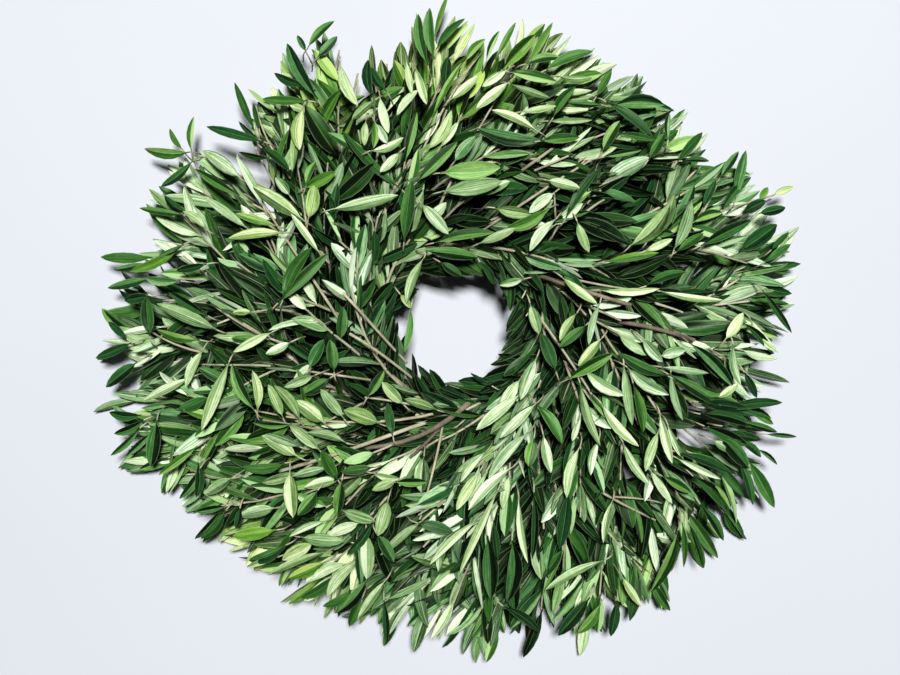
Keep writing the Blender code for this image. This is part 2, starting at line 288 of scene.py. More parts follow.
@dataclass(frozen=True)
class LeafFinish:
    """One side of a fresh olive leaf, coloured by its own tint and drawn along its own map.

    The tint's red is the tone from dark to light, its green the warmth from blue-green to
    yellow-green, and its blue a number of the leaf's own. The widths of the rib and the margin
    are shares of the way from the midrib to the edge.
    """

    name: str
    cool: Stops
    warm: Stops
    rib_colour: str
    rib_share: float
    rib_width: float
    rib_height: float
    edge_colour: str
    edge_share: float
    streak_height: float
    mottle: float
    roughness: float
    gloss: float
    felt: float
    gleam: str
    streak_share: float
    # How strongly painted light is laid on the two halves of the blade, one half lighter and the other
    # darker.
    painted_half_light_share: float

    rib_core: float = 0.4
    margin: float = 0.84
    midrib: float = 0.5
    half_step: tuple[float, float] = (0.47, 0.53)
    streak_scale: tuple[float, float, float] = (2.0, 12.0, 90.0)
    streak_detail: float = 2.0
    spot_scale: float = 200.0
    spot_detail: float = 3.0
    spot_roughness: float = 0.6
    noise_range: tuple[float, float] = (0.3, 0.7)
    roughness_range: tuple[float, float] = (-0.07, 0.09)
    felt_roughness: float = 0.5
    bump: float = 0.7

    def build(self) -> Material:
        """Builds the material of this side of the leaf.

        Returns:
            The material.
        """
        material, tree, shader = new_material(self.name)
        tint = add_node(tree, "Attribute", attribute_name=LEAF_TINT)
        parts = add_node(tree, "SeparateColor", {"Color": tint.outputs["Color"]})
        place = add_node(tree, "UVMap", uv_map=LEAF_MAP)
        along = add_node(tree, "SeparateXYZ", {"Vector": place.outputs["UV"]})
        across = self.from_rib(tree, along.outputs["Y"])
        # Painted light: one half of the blade lighter than the other, as if lit across the fold at the
        # midrib.
        half = self.painted_half_light(tree, along.outputs["Y"], parts.outputs["Blue"])
        rib, margin = (
            add_node(
                tree,
                "MapRange",
                {"Value": across},
                {"From Min": start, "From Max": end, "To Min": at_start, "To Max": 1.0 - at_start},
                interpolation_type="SMOOTHSTEP",
            ).outputs["Result"]
            for start, end, at_start in (
                (self.rib_width * self.rib_core, self.rib_width, 1.0),
                (self.margin, 1.0, 0.0),
            )
        )
        spots = add_node(
            tree,
            "TexNoise",
            {"Vector": add_node(tree, "TexCoord").outputs["Object"]},
            {"Scale": self.spot_scale, "Detail": self.spot_detail, "Roughness": self.spot_roughness},
        ).outputs["Fac"]
        streaks = self.streaks(tree, place.outputs["UV"], parts.outputs["Blue"])
        colour = self.colour(tree, parts, rib, margin, spots, streaks, half)
        tree.links.new(colour, shader.inputs["Base Color"])
        smoothest, roughest = (self.roughness + change for change in self.roughness_range)
        rough = add_node(
            tree, "MapRange", {"Value": spots}, {"To Min": smoothest, "To Max": roughest}
        )
        tree.links.new(rough.outputs["Result"], shader.inputs["Roughness"])
        tree.links.new(self.relief(tree, rib, streaks), shader.inputs["Normal"])
        shader.inputs["Specular IOR Level"].default_value = self.gloss
        shader.inputs["Specular Tint"].default_value = linear(self.gleam)
        shader.inputs["Sheen Weight"].default_value = self.felt
        shader.inputs["Sheen Roughness"].default_value = self.felt_roughness
        return material

    def from_rib(self, tree: Tree, breadth: Socket) -> Socket:
        """Adds the distance from the midrib.

        Args:
            tree: The node tree.
            breadth: The place across the leaf's map.

        Returns:
            The distance: 0 at the midrib and 1 at the leaf's edge.
        """
        off = add_node(tree, "Math", {0: breadth}, {1: self.midrib}, operation="SUBTRACT")
        size = add_node(tree, "Math", {0: off.outputs[0]}, operation="ABSOLUTE")
        return add_node(
            tree, "Math", {0: size.outputs[0]}, {1: 1 / self.midrib}, operation="MULTIPLY"
        ).outputs[0]

    def painted_half_light(self, tree: Tree, breadth: Socket, own: Socket) -> Socket:
        """Adds the painted light on the two halves of the blade: how much lighter one half is painted
        than the other, as if lit across the fold at the midrib, more on some leaves than on others.

        Args:
            tree: The node tree.
            breadth: The place across the leaf's map.
            own: The leaf's own number.

        Returns:
            A share from -1 to 1.
        """
        before, after = self.half_step
        half = add_node(
            tree,
            "MapRange",
            {"Value": breadth},
            {"From Min": before, "From Max": after, "To Min": -1.0, "To Max": 1.0},
            interpolation_type="SMOOTHSTEP",
        )
        lean = add_node(tree, "MapRange", {"Value": own}, {"To Min": -1.0, "To Max": 1.0})
        return add_node(
            tree, "Math", {0: half.outputs["Result"], 1: lean.outputs["Result"]}, operation="MULTIPLY"
        ).outputs[0]

    def streaks(self, tree: Tree, place: Socket, own: Socket) -> Socket:
        """Adds fine streaks along the leaf, different on each leaf.

        Args:
            tree: The node tree.
            place: The place on the leaf's map.
            own: The leaf's own number.

        Returns:
            The streaks, from 0 to 1.
        """
        shift = add_node(tree, "CombineXYZ", {"Z": own})
        apart = add_node(
            tree, "VectorMath", {0: place, 1: shift.outputs[0]}, operation="ADD"
        ).outputs[0]
        stretched = add_node(
            tree, "VectorMath", {0: apart}, {1: self.streak_scale}, operation="MULTIPLY"
        ).outputs[0]
        return add_node(
            tree, "TexNoise", {"Vector": stretched}, {"Scale": 1.0, "Detail": self.streak_detail}
        ).outputs["Fac"]

    def colour(
        self,
        tree: Tree,
        parts: Node,
        rib: Socket,
        margin: Socket,
        spots: Socket,
        streaks: Socket,
        half: Socket,
    ) -> Socket:
        """Adds the leaf's colour: its tone and warmth with painted light on its halves, faint spots and
        streaks, a rib and an edge.

        Args:
            tree: The node tree.
            parts: The tint, split to its tone, its warmth and the leaf's own number.
            rib: How much of the midrib is felt.
            margin: How much of the edge is felt.
            spots: The faint spots.
            streaks: The fine streaks.
            half: The painted light: how much lighter this half is painted than the other.

        Returns:
            The colour.
        """
        uneven = add_node(
            tree,
            "Mix",
            {NUMBER_A: spots, NUMBER_B: streaks},
            {"Factor": self.streak_share},
            data_type="FLOAT",
        ).outputs[0]
        least, most = self.noise_range
        change = add_node(
            tree,
            "MapRange",
            {"Value": uneven},
            {"From Min": least, "From Max": most, "To Min": -self.mottle, "To Max": self.mottle},
        )
        # Painted light: the tone is raised on one half of the blade and lowered on the other.
        tone_with_painted_light = add_node(
            tree,
            "Math",
            {0: half, 2: parts.outputs["Red"]},
            {1: self.painted_half_light_share},
            operation="MULTIPLY_ADD",
        )
        tone = add_node(
            tree, "Math", {0: tone_with_painted_light.outputs[0], 1: change.outputs["Result"]}, use_clamp=True
        ).outputs[0]
        colour = add_node(
            tree,
            "Mix",
            {
                "Factor": parts.outputs["Green"],
                COLOUR_A: add_ramp(tree, tone, self.cool),
                COLOUR_B: add_ramp(tree, tone, self.warm),
            },
            data_type="RGBA",
        ).outputs[COLOUR_OUT]
        # The edge: on the upper side a light line, partly the pale rolled margin and partly a painted
        # highlight; on the back a dark line, partly the rolled margin's green and partly painted shade
        # between the leaves.
        lines = (
            (margin, self.edge_share, self.edge_colour),
            (rib, self.rib_share, self.rib_colour),
        )
        for mask, amount, code in lines:
            share = add_node(tree, "Math", {0: mask}, {1: amount}, operation="MULTIPLY")
            colour = add_node(
                tree,
                "Mix",
                {"Factor": share.outputs[0], COLOUR_A: colour},
                {COLOUR_B: linear(code)},
                data_type="RGBA",
            ).outputs[COLOUR_OUT]
        return colour

    def relief(self, tree: Tree, rib: Socket, streaks: Socket) -> Socket:
        """Adds the sunk or raised midrib and the fine streaks as a bent normal.

        Args:
            tree: The node tree.
            rib: How much of the midrib is felt.
            streaks: The fine streaks.

        Returns:
            The normal.
        """
        ribbed = add_node(tree, "Math", {0: rib}, {1: self.rib_height}, operation="MULTIPLY")
        height = add_node(
            tree,
            "Math",
            {0: streaks, 2: ribbed.outputs[0]},
            {1: self.streak_height},
            operation="MULTIPLY_ADD",
        )
        bump = add_node(
            tree, "Bump", {"Height": height.outputs[0]}, {"Strength": self.bump, "Distance": 1.0}
        )
        return bump.outputs["Normal"]


# Waxy cuticle: dark, half glossy, with a sunk midrib that shows as a thin light line. Its light edge is
# partly the pale rolled margin and partly a painted highlight, and one half is painted lighter than the
# other as painted light.
WAXY_UPPER = LeafFinish(
    name="waxy_olive_leaf_upper",
    cool=((0.0, "#040B05"), (0.25, "#123118"), (0.55, "#245225"), (0.8, "#527E4C"), (1.0, "#9ABB8C")),
    warm=((0.0, "#0B1804"), (0.35, "#28520C"), (0.65, "#5C8A2C"), (1.0, "#A4BD5E")),
    rib_colour="#8FB070",
    rib_share=0.2,
    rib_width=0.07,
    rib_height=-0.00022,
    edge_colour="#9DBC84",
    edge_share=0.2,
    streak_height=0.00012,
    mottle=0.2,
    roughness=0.36,
    gloss=0.26,
    felt=0.0,
    gleam="#A9D79B",
    streak_share=0.8,
    painted_half_light_share=0.36,
)

# Felt of tiny scales: pale silvery green, matt, with a raised yellowish midrib. Its dark edge is partly
# the green of the rolled margin and partly painted shade between the leaves, and one half is painted
# lighter than the other as painted light.
FELTED_BACK = LeafFinish(
    name="felted_olive_leaf_back",
    cool=((0.0, "#0C1E0B"), (0.28, "#42643B"), (0.55, "#6B8E62"), (0.8, "#8BA980"), (1.0, "#CBDFC0")),
    warm=((0.0, "#1F2C06"), (0.35, "#5F7B39"), (0.65, "#8CA85C"), (1.0, "#CDDAA0")),
    rib_colour="#DDE3C4",
    rib_share=0.35,
    rib_width=0.1,
    rib_height=0.0003,
    edge_colour="#1F3A1B",
    edge_share=0.82,
    streak_height=0.00014,
    mottle=0.34,
    roughness=0.7,
    gloss=0.22,
    felt=0.05,
    gleam="#DDEBD0",
    streak_share=0.8,
    painted_half_light_share=0.26,
)


@dataclass(frozen=True)
class BarkFinish:
    """Olive bark: grey-brown on old wood and pale grey-green on young, with fine ridges and specks.

    The tint's red is the wood's youth.
    """

    name: str = "ridged_olive_bark"
    old: Stops = ((0.28, "#2E2720"), (0.5, "#5C5041"), (0.75, "#93866D"))
    young: Stops = ((0.28, "#6A674F"), (0.5, "#A19D80"), (0.75, "#CDC9B0"))
    patch_scale: float = 55.0
    patch_detail: float = 4.0
    grain_scale: float = 700.0
    grain_detail: float = 2.0
    grain_share: float = 0.35
    roughness: float = 0.75
    ridge: float = 0.00025
    bump: float = 0.6

    def build(self) -> Material:
        """Builds the bark.

        Returns:
            The material.
        """
        material, tree, shader = new_material(self.name)
        place = add_node(tree, "TexCoord").outputs["Object"]
        patches, grain = (
            add_node(tree, "TexNoise", {"Vector": place}, {"Scale": scale, "Detail": detail})
            for scale, detail in (
                (self.patch_scale, self.patch_detail),
                (self.grain_scale, self.grain_detail),
            )
        )
        blend = add_node(
            tree,
            "Mix",
            {NUMBER_A: patches.outputs["Fac"], NUMBER_B: grain.outputs["Fac"]},
            {"Factor": self.grain_share},
            data_type="FLOAT",
        ).outputs[0]
        tint = add_node(tree, "Attribute", attribute_name=LEAF_TINT)
        parts = add_node(tree, "SeparateColor", {"Color": tint.outputs["Color"]})
        colour = add_node(
            tree,
            "Mix",
            {
                "Factor": parts.outputs["Red"],
                COLOUR_A: add_ramp(tree, blend, self.old),
                COLOUR_B: add_ramp(tree, blend, self.young),
            },
            data_type="RGBA",
        ).outputs[COLOUR_OUT]
        tree.links.new(colour, shader.inputs["Base Color"])
        bump = add_node(
            tree,
            "Bump",
            {"Height": grain.outputs["Fac"]},
            {"Strength": self.bump, "Distance": self.ridge},
        )
        tree.links.new(bump.outputs["Normal"], shader.inputs["Normal"])
        shader.inputs["Roughness"].default_value = self.roughness
        return material


@dataclass(frozen=True)
class PaintFinish:
    """Paint or lacquer with faint patches of lighter and darker colour."""

    name: str
    stops: Stops
    patch_scale: float
    patch_detail: float
    roughness: float
    coat: float

    def build(self) -> Material:
        """Builds the paint.

        Returns:
            The material.
        """
        material, tree, shader = new_material(self.name)
        place = add_node(tree, "TexCoord").outputs["Object"]
        patches = add_node(
            tree,
            "TexNoise",
            {"Vector": place},
            {"Scale": self.patch_scale, "Detail": self.patch_detail},
        )
        tree.links.new(add_ramp(tree, patches.outputs["Fac"], self.stops), shader.inputs["Base Color"])
        shader.inputs["Roughness"].default_value = self.roughness
        shader.inputs["Coat Weight"].default_value = self.coat
        return material


# Steel wire dipped in dark green lacquer: smooth, satin, worn lighter in places.
WIRE_LACQUER = PaintFinish(
    name="lacquered_steel_wire",
    stops=((0.35, "#16301F"), (0.6, "#1F4029"), (0.78, "#3B5641")),
    patch_scale=180.0,
    patch_detail=5.0,
    roughness=0.42,
    coat=0.3,
)

# A plain matt painted board: pale and slightly cool.
FLOOR_PAINT = PaintFinish(
    name="matt_pale_board",
    stops=((0.3, "#B1B4BA"), (0.7, "#B5B8BE")),
    patch_scale=1.5,
    patch_detail=2.0,
    roughness=0.6,
    coat=0.0,
)


def deselect() -> None:
    """Leaves object mode with nothing selected."""
    bpy.ops.object.select_all(action="DESELECT")


def paint(attribute: bpy.types.FloatColorAttribute, tint: Tint) -> None:
    """Gives every point of a mesh the same tint."""
    tints = np.tile(np.array([*tint, 1.0], np.float32), len(attribute.data))
    attribute.data.foreach_set("color", tints)


def join(pieces: list[Object], name: str) -> Object:
    """Joins pieces to the first of them.

    Args:
        pieces: Objects at the origin, whose materials are in the same slots.
        name: The joined object's name.

    Returns:
        The joined object.
    """
    deselect()
    for piece in pieces:
        piece.select_set(True)
    bpy.context.view_layer.objects.active = pieces[0]
    if len(pieces) > 1:
        bpy.ops.object.join()
    pieces[0].name = pieces[0].data.name = name
    return pieces[0]


def new_curve(name: str, radius: float, rings: int) -> Object:
    """Adds a round-sectioned curve with closed ends and no line in it yet.

    Args:
        name: The curve's name.
        radius: Its section's radius, where a knot's own radius is 1.
        rings: How finely the section is rounded.

    Returns:
        The curve's object.
    """
    deselect()
    bpy.ops.curve.primitive_bezier_curve_add()
    made = bpy.context.object
    made.name = name
    made.data.splines.clear()
    made.data.dimensions = "3D"
    made.data.bevel_depth = radius
    made.data.bevel_resolution = rings
    made.data.use_fill_caps = True
    return made


def add_spline(curve: bpy.types.Curve, knots: list[Knot], steps: int) -> None:
    """Adds one line to a curve.

    Args:
        curve: The curve.
        knots: The place, the left and right handle and the radius of each knot.
        steps: How many straight steps the line has between two knots.
    """
    spline = curve.splines.new("BEZIER")
    spline.resolution_u = steps
    spline.bezier_points.add(len(knots) - 1)
    for point, (place, left, right, radius) in zip(spline.bezier_points, knots):
        point.handle_left_type = point.handle_right_type = "FREE"
        point.co, point.handle_left, point.handle_right = place, left, right
        point.radius = radius


class Outline(Enum):
    """A leaf's outline: along it, the share of the length, of the width and of the depth."""

    LANCE = (
        (0.0, 0.11, 1.0),
        (0.08, 0.13, 1.1),
        (0.20, 0.55, 1.0),
        (0.37, 0.90, 1.0),
        (0.55, 1.0, 1.0),
        (0.74, 0.86, 0.9),
        (0.90, 0.50, 0.7),
        (1.0, 0.06, 0.1),
    )
    ELLIPSE = (
        (0.0, 0.09, 1.0),
        (0.09, 0.11, 1.1),
        (0.19, 0.56, 1.0),
        (0.34, 0.91, 1.0),
        (0.52, 1.0, 1.0),
        (0.71, 0.90, 0.9),
        (0.88, 0.58, 0.7),
        (1.0, 0.08, 0.1),
    )


@dataclass(frozen=True)
class LeafForm:
    """One form of olive leaf, lying along +X from its root at the origin, its upper side up.

    fold lifts the edges as a share of the half width, droop lowers the tip and sway moves the
    middle sideways as shares of the length, and twist turns the tip, in degrees. The section is
    modelled on a unit grid: crest, crest_at, edge_at and thickness are shares of the width.
    """

    name: str
    outline: Outline
    length: float
    width: float
    fold: float
    droop: float
    sway: float
    twist: float

    crest: float = 0.035
    crest_at: float = 0.25
    edge_at: float = 0.5
    thickness: float = 0.05
    columns: int = 4
    row_reach: float = 0.01
    smooth_under: float = math.radians(60)
    weld: float = 1e-6

    def model(self) -> Object:
        """Models the leaf from a grid: its section, then its back, then its outline and bend.

        Returns:
            The leaf.
        """
        deselect()
        rows = len(self.outline.value) - 1
        bpy.ops.mesh.primitive_grid_add(
            x_subdivisions=rows, y_subdivisions=self.columns, size=1.0, calc_uvs=True
        )
        leaf = bpy.context.object
        leaf.name = "leaf_" + self.name
        leaf.data.uv_layers[0].name = LEAF_MAP
        for _ in Slot:
            leaf.data.materials.append(None)
        bpy.ops.object.mode_set(mode="EDIT")
        self.raise_section(leaf)
        self.close_back(leaf)
        self.draw_outline(leaf)
        bpy.ops.object.mode_set(mode="OBJECT")
        bpy.ops.object.shade_smooth_by_angle(angle=self.smooth_under)
        leaf.data.attributes.new(LEAF_TINT, "FLOAT_COLOR", "POINT")
        return leaf

    def select(self, leaf: Object, test: Callable[[bmesh.types.BMVert], bool]) -> None:
        """Selects the vertices of a leaf in edit mode that pass a test.

        Args:
            leaf: The leaf.
            test: The test.
        """
        work = bmesh.from_edit_mesh(leaf.data)
        for vertex in work.verts:
            vertex.select = test(vertex)
        work.select_flush_mode()
        bmesh.update_edit_mesh(leaf.data)

    def raise_section(self, leaf: Object) -> None:
        """Gives the unit grid the upper side's section: a valley between two low crests.

        Args:
            leaf: The grid, in edit mode.
        """
        for half, crest in ((self.crest_at, self.crest), (self.edge_at, 0.0)):
            self.select(leaf, lambda vertex, half=half: abs(abs(vertex.co.y) - half) < self.weld)
            bpy.ops.transform.translate(value=(0.0, 0.0, self.fold * half + crest))

    def close_back(self, leaf: Object) -> None:
        """Copies the upper side as the back, lowers it by the thickness and welds their edges.

        Args:
            leaf: The upper side, in edit mode.
        """
        bpy.ops.mesh.select_all(action="SELECT")
        bpy.ops.mesh.duplicate()
        bpy.ops.mesh.flip_normals()
        leaf.active_material_index = Slot.BACK.value
        bpy.ops.object.material_slot_assign()
        self.select(leaf, lambda vertex: vertex.select and not vertex.is_boundary)
        bpy.ops.transform.translate(value=(0.0, 0.0, -self.thickness))
        bpy.ops.mesh.select_all(action="SELECT")
        bpy.ops.mesh.remove_doubles(threshold=self.weld)

    def draw_outline(self, leaf: Object) -> None:
        """Gives each row across the unit grid its width, place, bend and twist.

        Args:
            leaf: The closed leaf, in edit mode.
        """
        rows = len(self.outline.value) - 1
        places = [vertex.co.x for vertex in bmesh.from_edit_mesh(leaf.data).verts]
        for row, (share, broad, deep) in enumerate(self.outline.value):
            here = row / rows - self.edge_at
            self.select(
                leaf, lambda vertex, here=here: abs(places[vertex.index] - here) < self.row_reach
            )
            bpy.ops.transform.resize(
                value=(1.0, self.width * broad, self.width * deep), center_override=(here, 0.0, 0.0)
            )
            bpy.ops.transform.rotate(
                value=math.radians(self.twist * share),
                orient_axis="X",
                center_override=(here, 0.0, 0.0),
            )
            sideways = self.sway * math.sin(math.pi * share) * self.length
            down = self.droop * share**2 * self.length
            bpy.ops.transform.translate(value=(share * self.length - here, sideways, -down))


# Each form's name, outline, length, width, fold, droop, sway and twist.
LEAF_FORMS = (
    LeafForm("plain_lance", Outline.LANCE, 0.047, 0.0102, 0.16, 0.03, 0.01, 8),
    LeafForm("drooping_lance", Outline.LANCE, 0.048, 0.0106, 0.24, 0.15, -0.02, -10),
    LeafForm("swayed_lance", Outline.LANCE, 0.050, 0.0100, 0.20, 0.06, 0.06, 14),
    LeafForm("twisted_lance", Outline.LANCE, 0.048, 0.0104, 0.26, 0.07, -0.04, 40),
    LeafForm("folded_lance", Outline.LANCE, 0.046, 0.0094, 0.60, 0.09, 0.02, -14),
    LeafForm("plain_ellipse", Outline.ELLIPSE, 0.040, 0.0120, 0.14, 0.04, -0.01, -8),
    LeafForm("drooping_ellipse", Outline.ELLIPSE, 0.042, 0.0126, 0.22, 0.14, 0.03, 12),
    LeafForm("rising_ellipse", Outline.ELLIPSE, 0.041, 0.0118, 0.12, -0.08, 0.02, 6),
    LeafForm("twisted_ellipse", Outline.ELLIPSE, 0.043, 0.0120, 0.30, 0.05, -0.04, -36),
)


@dataclass(frozen=True)
class Patch:
    """A part of the wreath that looks different: paler, lighter, yellower or lying otherwise.

    It is placed by its angle from +X in degrees and its distance from the ring's axis, and
    reach is how far its influence goes. The shares of backs, tone, warmth and broad leaves are
    added there, and turn is how far its leaves lie clockwise of the usual, in degrees.
    """

    name: str
    angle: float
    distance: float
    reach: float
    backs: float = 0.0
    tone: float = 0.0
    warmth: float = 0.0
    broad: float = 0.0
    turn: float = 0.0

    def influence(self, point: Vector) -> float:
        """How much of the patch is felt at a point, from 0 to 1."""
        middle = polar(self.distance, math.radians(self.angle), 0.0)
        return math.exp(-(((point - middle).xy.length / self.reach) ** 2))


PATCHES = (
    Patch("pale band, right of the hole", -34, 0.086, 0.040, backs=0.6, tone=0.2),
    Patch("pale band, below right", -60, 0.106, 0.040, backs=0.45, tone=0.15),
    Patch("pale band, below", -84, 0.138, 0.036, backs=0.2, tone=0.1),
    Patch("pale band, foot", -95, 0.178, 0.038, backs=0.6, tone=0.2),
    Patch("green lower right", -45, 0.165, 0.070, backs=-0.45, tone=-0.05),
    Patch("green right", -12, 0.140, 0.045, backs=-0.3),
    Patch("pale left of the hole", 158, 0.070, 0.040, backs=0.6, tone=0.25),
    Patch("pale left", 174, 0.120, 0.045, backs=0.55, tone=0.25),
    Patch("pale upper left", 160, 0.180, 0.050, backs=0.4, tone=0.2),
    Patch("olive top", 94, 0.225, 0.045, backs=0.5, tone=0.25, warmth=0.45),
    Patch("pale top", 78, 0.212, 0.048, backs=0.55, tone=0.3, warmth=0.4),
    Patch("pale above the hole", 97, 0.118, 0.040, backs=0.3, tone=0.15),
    Patch("pale upper middle", 102, 0.180, 0.050, backs=0.4, tone=0.2, warmth=0.35),
    Patch("yellow upper left", 127, 0.211, 0.030, backs=0.3, tone=0.3, warmth=0.6),
    Patch("yellow lower left", -134, 0.252, 0.030, backs=-0.2, tone=0.2, warmth=0.8),
    Patch("warm lower left", -118, 0.231, 0.035, backs=0.1, tone=0.05, warmth=0.4),
    Patch("fresh left", -150, 0.166, 0.070, backs=0.15, tone=0.1, warmth=0.35, broad=0.6),
    Patch("paler right rim", 30, 0.235, 0.080, backs=0.8, tone=0.4),
    Patch("paler upper rim", 75, 0.250, 0.080, backs=0.8, tone=0.4, warmth=0.2),
    Patch("paler upper left rim", 120, 0.250, 0.070, backs=0.8, tone=0.3, broad=0.3),
    Patch("paler left rim", 155, 0.245, 0.065, backs=0.9, tone=0.35),
    Patch("paler lower left rim", -115, 0.250, 0.050, backs=0.15, tone=0.1),
    Patch("dark bottom rim", -78, 0.245, 0.055, tone=-0.3),
    Patch("dark left rim", -176, 0.285, 0.050, backs=-0.25, tone=-0.15),
    Patch("dark upper left", 112, 0.145, 0.030, backs=-0.1, tone=-0.1),
    Patch("upright upper right", 28, 0.205, 0.065, turn=-42),
    Patch("upright right rim", 8, 0.280, 0.060, turn=-20),
    Patch("level right", 3, 0.160, 0.040, turn=-16),
    Patch("leaning top right", 66, 0.215, 0.060, turn=26),
    Patch("upright top left", 128, 0.270, 0.050, turn=-16),
    Patch("level upper left", 150, 0.215, 0.060, turn=-20),
    Patch("drooping left", 185, 0.215, 0.065, turn=-44),
    Patch("drooping lower left rim", 201, 0.285, 0.050, turn=-28),
    Patch("leaning foot", 286, 0.250, 0.050, turn=30),
    Patch("upright foot", 264, 0.270, 0.035, turn=-16),
    Patch("level above the hole", 86, 0.115, 0.035, turn=22),
    Patch("upright above right of the hole", 44, 0.120, 0.035, turn=-32),
    Patch("winding right of the hole", -15, 0.085, 0.040, turn=24),
)

# How far the leaves lie clockwise of the radius, in degrees, by their distance from the ring's
# axis, and the most that a patch can make of it.
MOST_TURN = 82
LAY = ((0.060, 78), (0.080, 65), (0.115, 46), (0.165, 33), (0.215, 27), (0.275, 15))

# How far the leaves' tips reach from the ring's axis, by the angle from +X in degrees.
RIM = (
    (0, 0.292), (10, 0.298), (22, 0.304), (30, 0.280), (37, 0.258), (46, 0.250), (56, 0.250),
    (64, 0.260), (72, 0.272), (82, 0.262), (93, 0.277), (100, 0.254), (107, 0.234), (114, 0.268),
    (122, 0.266), (127, 0.252), (133, 0.278), (141, 0.262), (150, 0.268), (158, 0.286), (167, 0.303),
    (175, 0.294), (183, 0.308), (192, 0.302), (200, 0.310), (206, 0.286), (214, 0.278), (221, 0.284),
    (228, 0.266), (236, 0.270), (243, 0.276), (263, 0.268), (273, 0.286), (284, 0.278),
    (296, 0.296), (306, 0.292), (316, 0.300), (331, 0.312), (342, 0.300), (351, 0.277), (360, 0.292),
)

# The rim's tufts: how many go round it, how far they stand out as a share, and their start.
TUFTS = ((41, 0.035, 1.0), (67, 0.025, 2.0))

# The top of the foliage, as distances from the ring's axis and heights, and how far above it
# the leaves may stand.
CANOPY = ((0.045, 0.045), (0.090, 0.072), (0.150, 0.082), (0.200, 0.062), (0.250, 0.038), (0.300, 0.018))
ABOVE_CANOPY = 0.011

# Painted shade: how deep in the foliage a leaf is painted in full shade, and how much of that painted
# shade is felt by the distance.
DEEP = 0.016
SHADE = ((0.170, 1.3), (0.240, 0.25))


@dataclass(frozen=True)
class Character:
    """What is usual at one place of the wreath."""

    backs: float
    tone: float
    warmth: float
    broad: float


# What is usual everywhere, before the patches.
USUAL = Character(backs=0.52, tone=0.65, warmth=0.15, broad=0.3)


def character_at(point: Vector) -> Character:
    """What is usual at a point, with the patches that are felt there.

    Args:
        point: The point, measured from the ring's axis.

    Returns:
        What is usual there.
    """
    felt = [(patch, patch.influence(point)) for patch in PATCHES]
    return Character(
        *(
            clamp(usual + sum(getattr(patch, name) * share for patch, share in felt))
            for name, usual in vars(USUAL).items()
        )
    )


def canopy_at(point: Vector) -> float:
    """The height of the foliage's top at a point measured from the ring's axis."""
    distances, heights = zip(*CANOPY)
    return float(np.interp(point.xy.length, distances, heights))


def painted_shade_at(point: Vector) -> float:
    """How much painted shade darkens a point below the foliage's top.

    Args:
        point: The point, measured from the ring's axis.

    Returns:
        The painted shade, as a difference in tone.
    """
    distances, shares = zip(*SHADE)
    felt = float(np.interp(point.xy.length, distances, shares))
    return clamp((canopy_at(point) - point.z) / DEEP) * felt


def rim_at(point: Vector) -> float:
    """How far the leaves' tips reach.

    Args:
        point: A point in that direction, measured from the ring's axis.

    Returns:
        The distance from the ring's axis.
    """
    angles, distances = zip(*RIM)
    angle = math.atan2(point.y, point.x)
    tufts = sum(size * math.sin(number * angle + start) for number, size, start in TUFTS)
    return float(np.interp(math.degrees(angle) % 360, angles, distances)) * (1 + tufts)


def lay_at(point: Vector, turn: float = 0.0) -> Vector:
    """The level direction in which the leaves lie.

    Args:
        point: The place, measured from the ring's axis.
        turn: How far the direction is turned clockwise of that, in degrees.

    Returns:
        The direction.
    """
    distances, turns = zip(*LAY)
    turn += float(np.interp(point.xy.length, distances, turns))
    turn += sum(patch.turn * patch.influence(point) for patch in PATCHES if patch.turn)
    return heading(math.atan2(point.y, point.x), math.radians(min(turn, MOST_TURN)))


@dataclass
class Branch:
    """One woody line: a cubic curve from its root to its tip, with the pull at each end."""

    root: Vector
    root_pull: Vector
    tip_pull: Vector
    tip: Vector
    root_radius: float
    tip_radius: float
    butt: Vector | None = None

    STEPS = 24
    NEAR = 0.02

    def at(self, share: float) -> Vector:
        """The point of the curve at a share of its parameter.

        Args:
            share: The share, from 0 at the root to 1 at the tip.

        Returns:
            The point.
        """
        rest = 1 - share
        point = self.root * rest**3 + self.tip * share**3
        return point + (self.root_pull * rest + self.tip_pull * share) * 3 * rest * share

    def direction(self, share: float) -> Vector:
        """The direction of growth.

        Args:
            share: The share of the curve's parameter.

        Returns:
            The direction there, of length 1.
        """
        before = self.at(max(0.0, share - self.NEAR))
        after = self.at(min(1.0, share + self.NEAR))
        return (after - before).normalized()

    @property
    def length(self) -> float:
        """The length of the curve, by short chords."""
        points = [self.at(step / self.STEPS) for step in range(self.STEPS + 1)]
        return sum((after - before).length for before, after in zip(points, points[1:]))


@dataclass(frozen=True)
class Shoot:
    """A side shoot's plan.

    It leaves the main stem at the share fork and follows the lay of the leaves, turned clockwise
    by turn degrees, out to the share reach of the rim. There it is at the share level of the
    foliage's height.
    """

    fork: float
    turn: float
    reach: float
    level: float


@dataclass(frozen=True)
class Tier:
    """One layer of the wreath: the same sprig of every bunch. Angles are in degrees.

    The values from side to tip_rise are those of the CAD model's tier of that name. The shoots
    are bare up to the share bare of their length.
    """

    name: str
    side: int
    row: int
    exit_rise: float
    tip_radius: float
    tip_swing: float
    tip_height: float
    tip_heading: float
    tip_rise: float
    leaf_size: float
    first_leaf: float
    pair_spacing: float
    bare: float
    shoots: tuple[Shoot, ...]


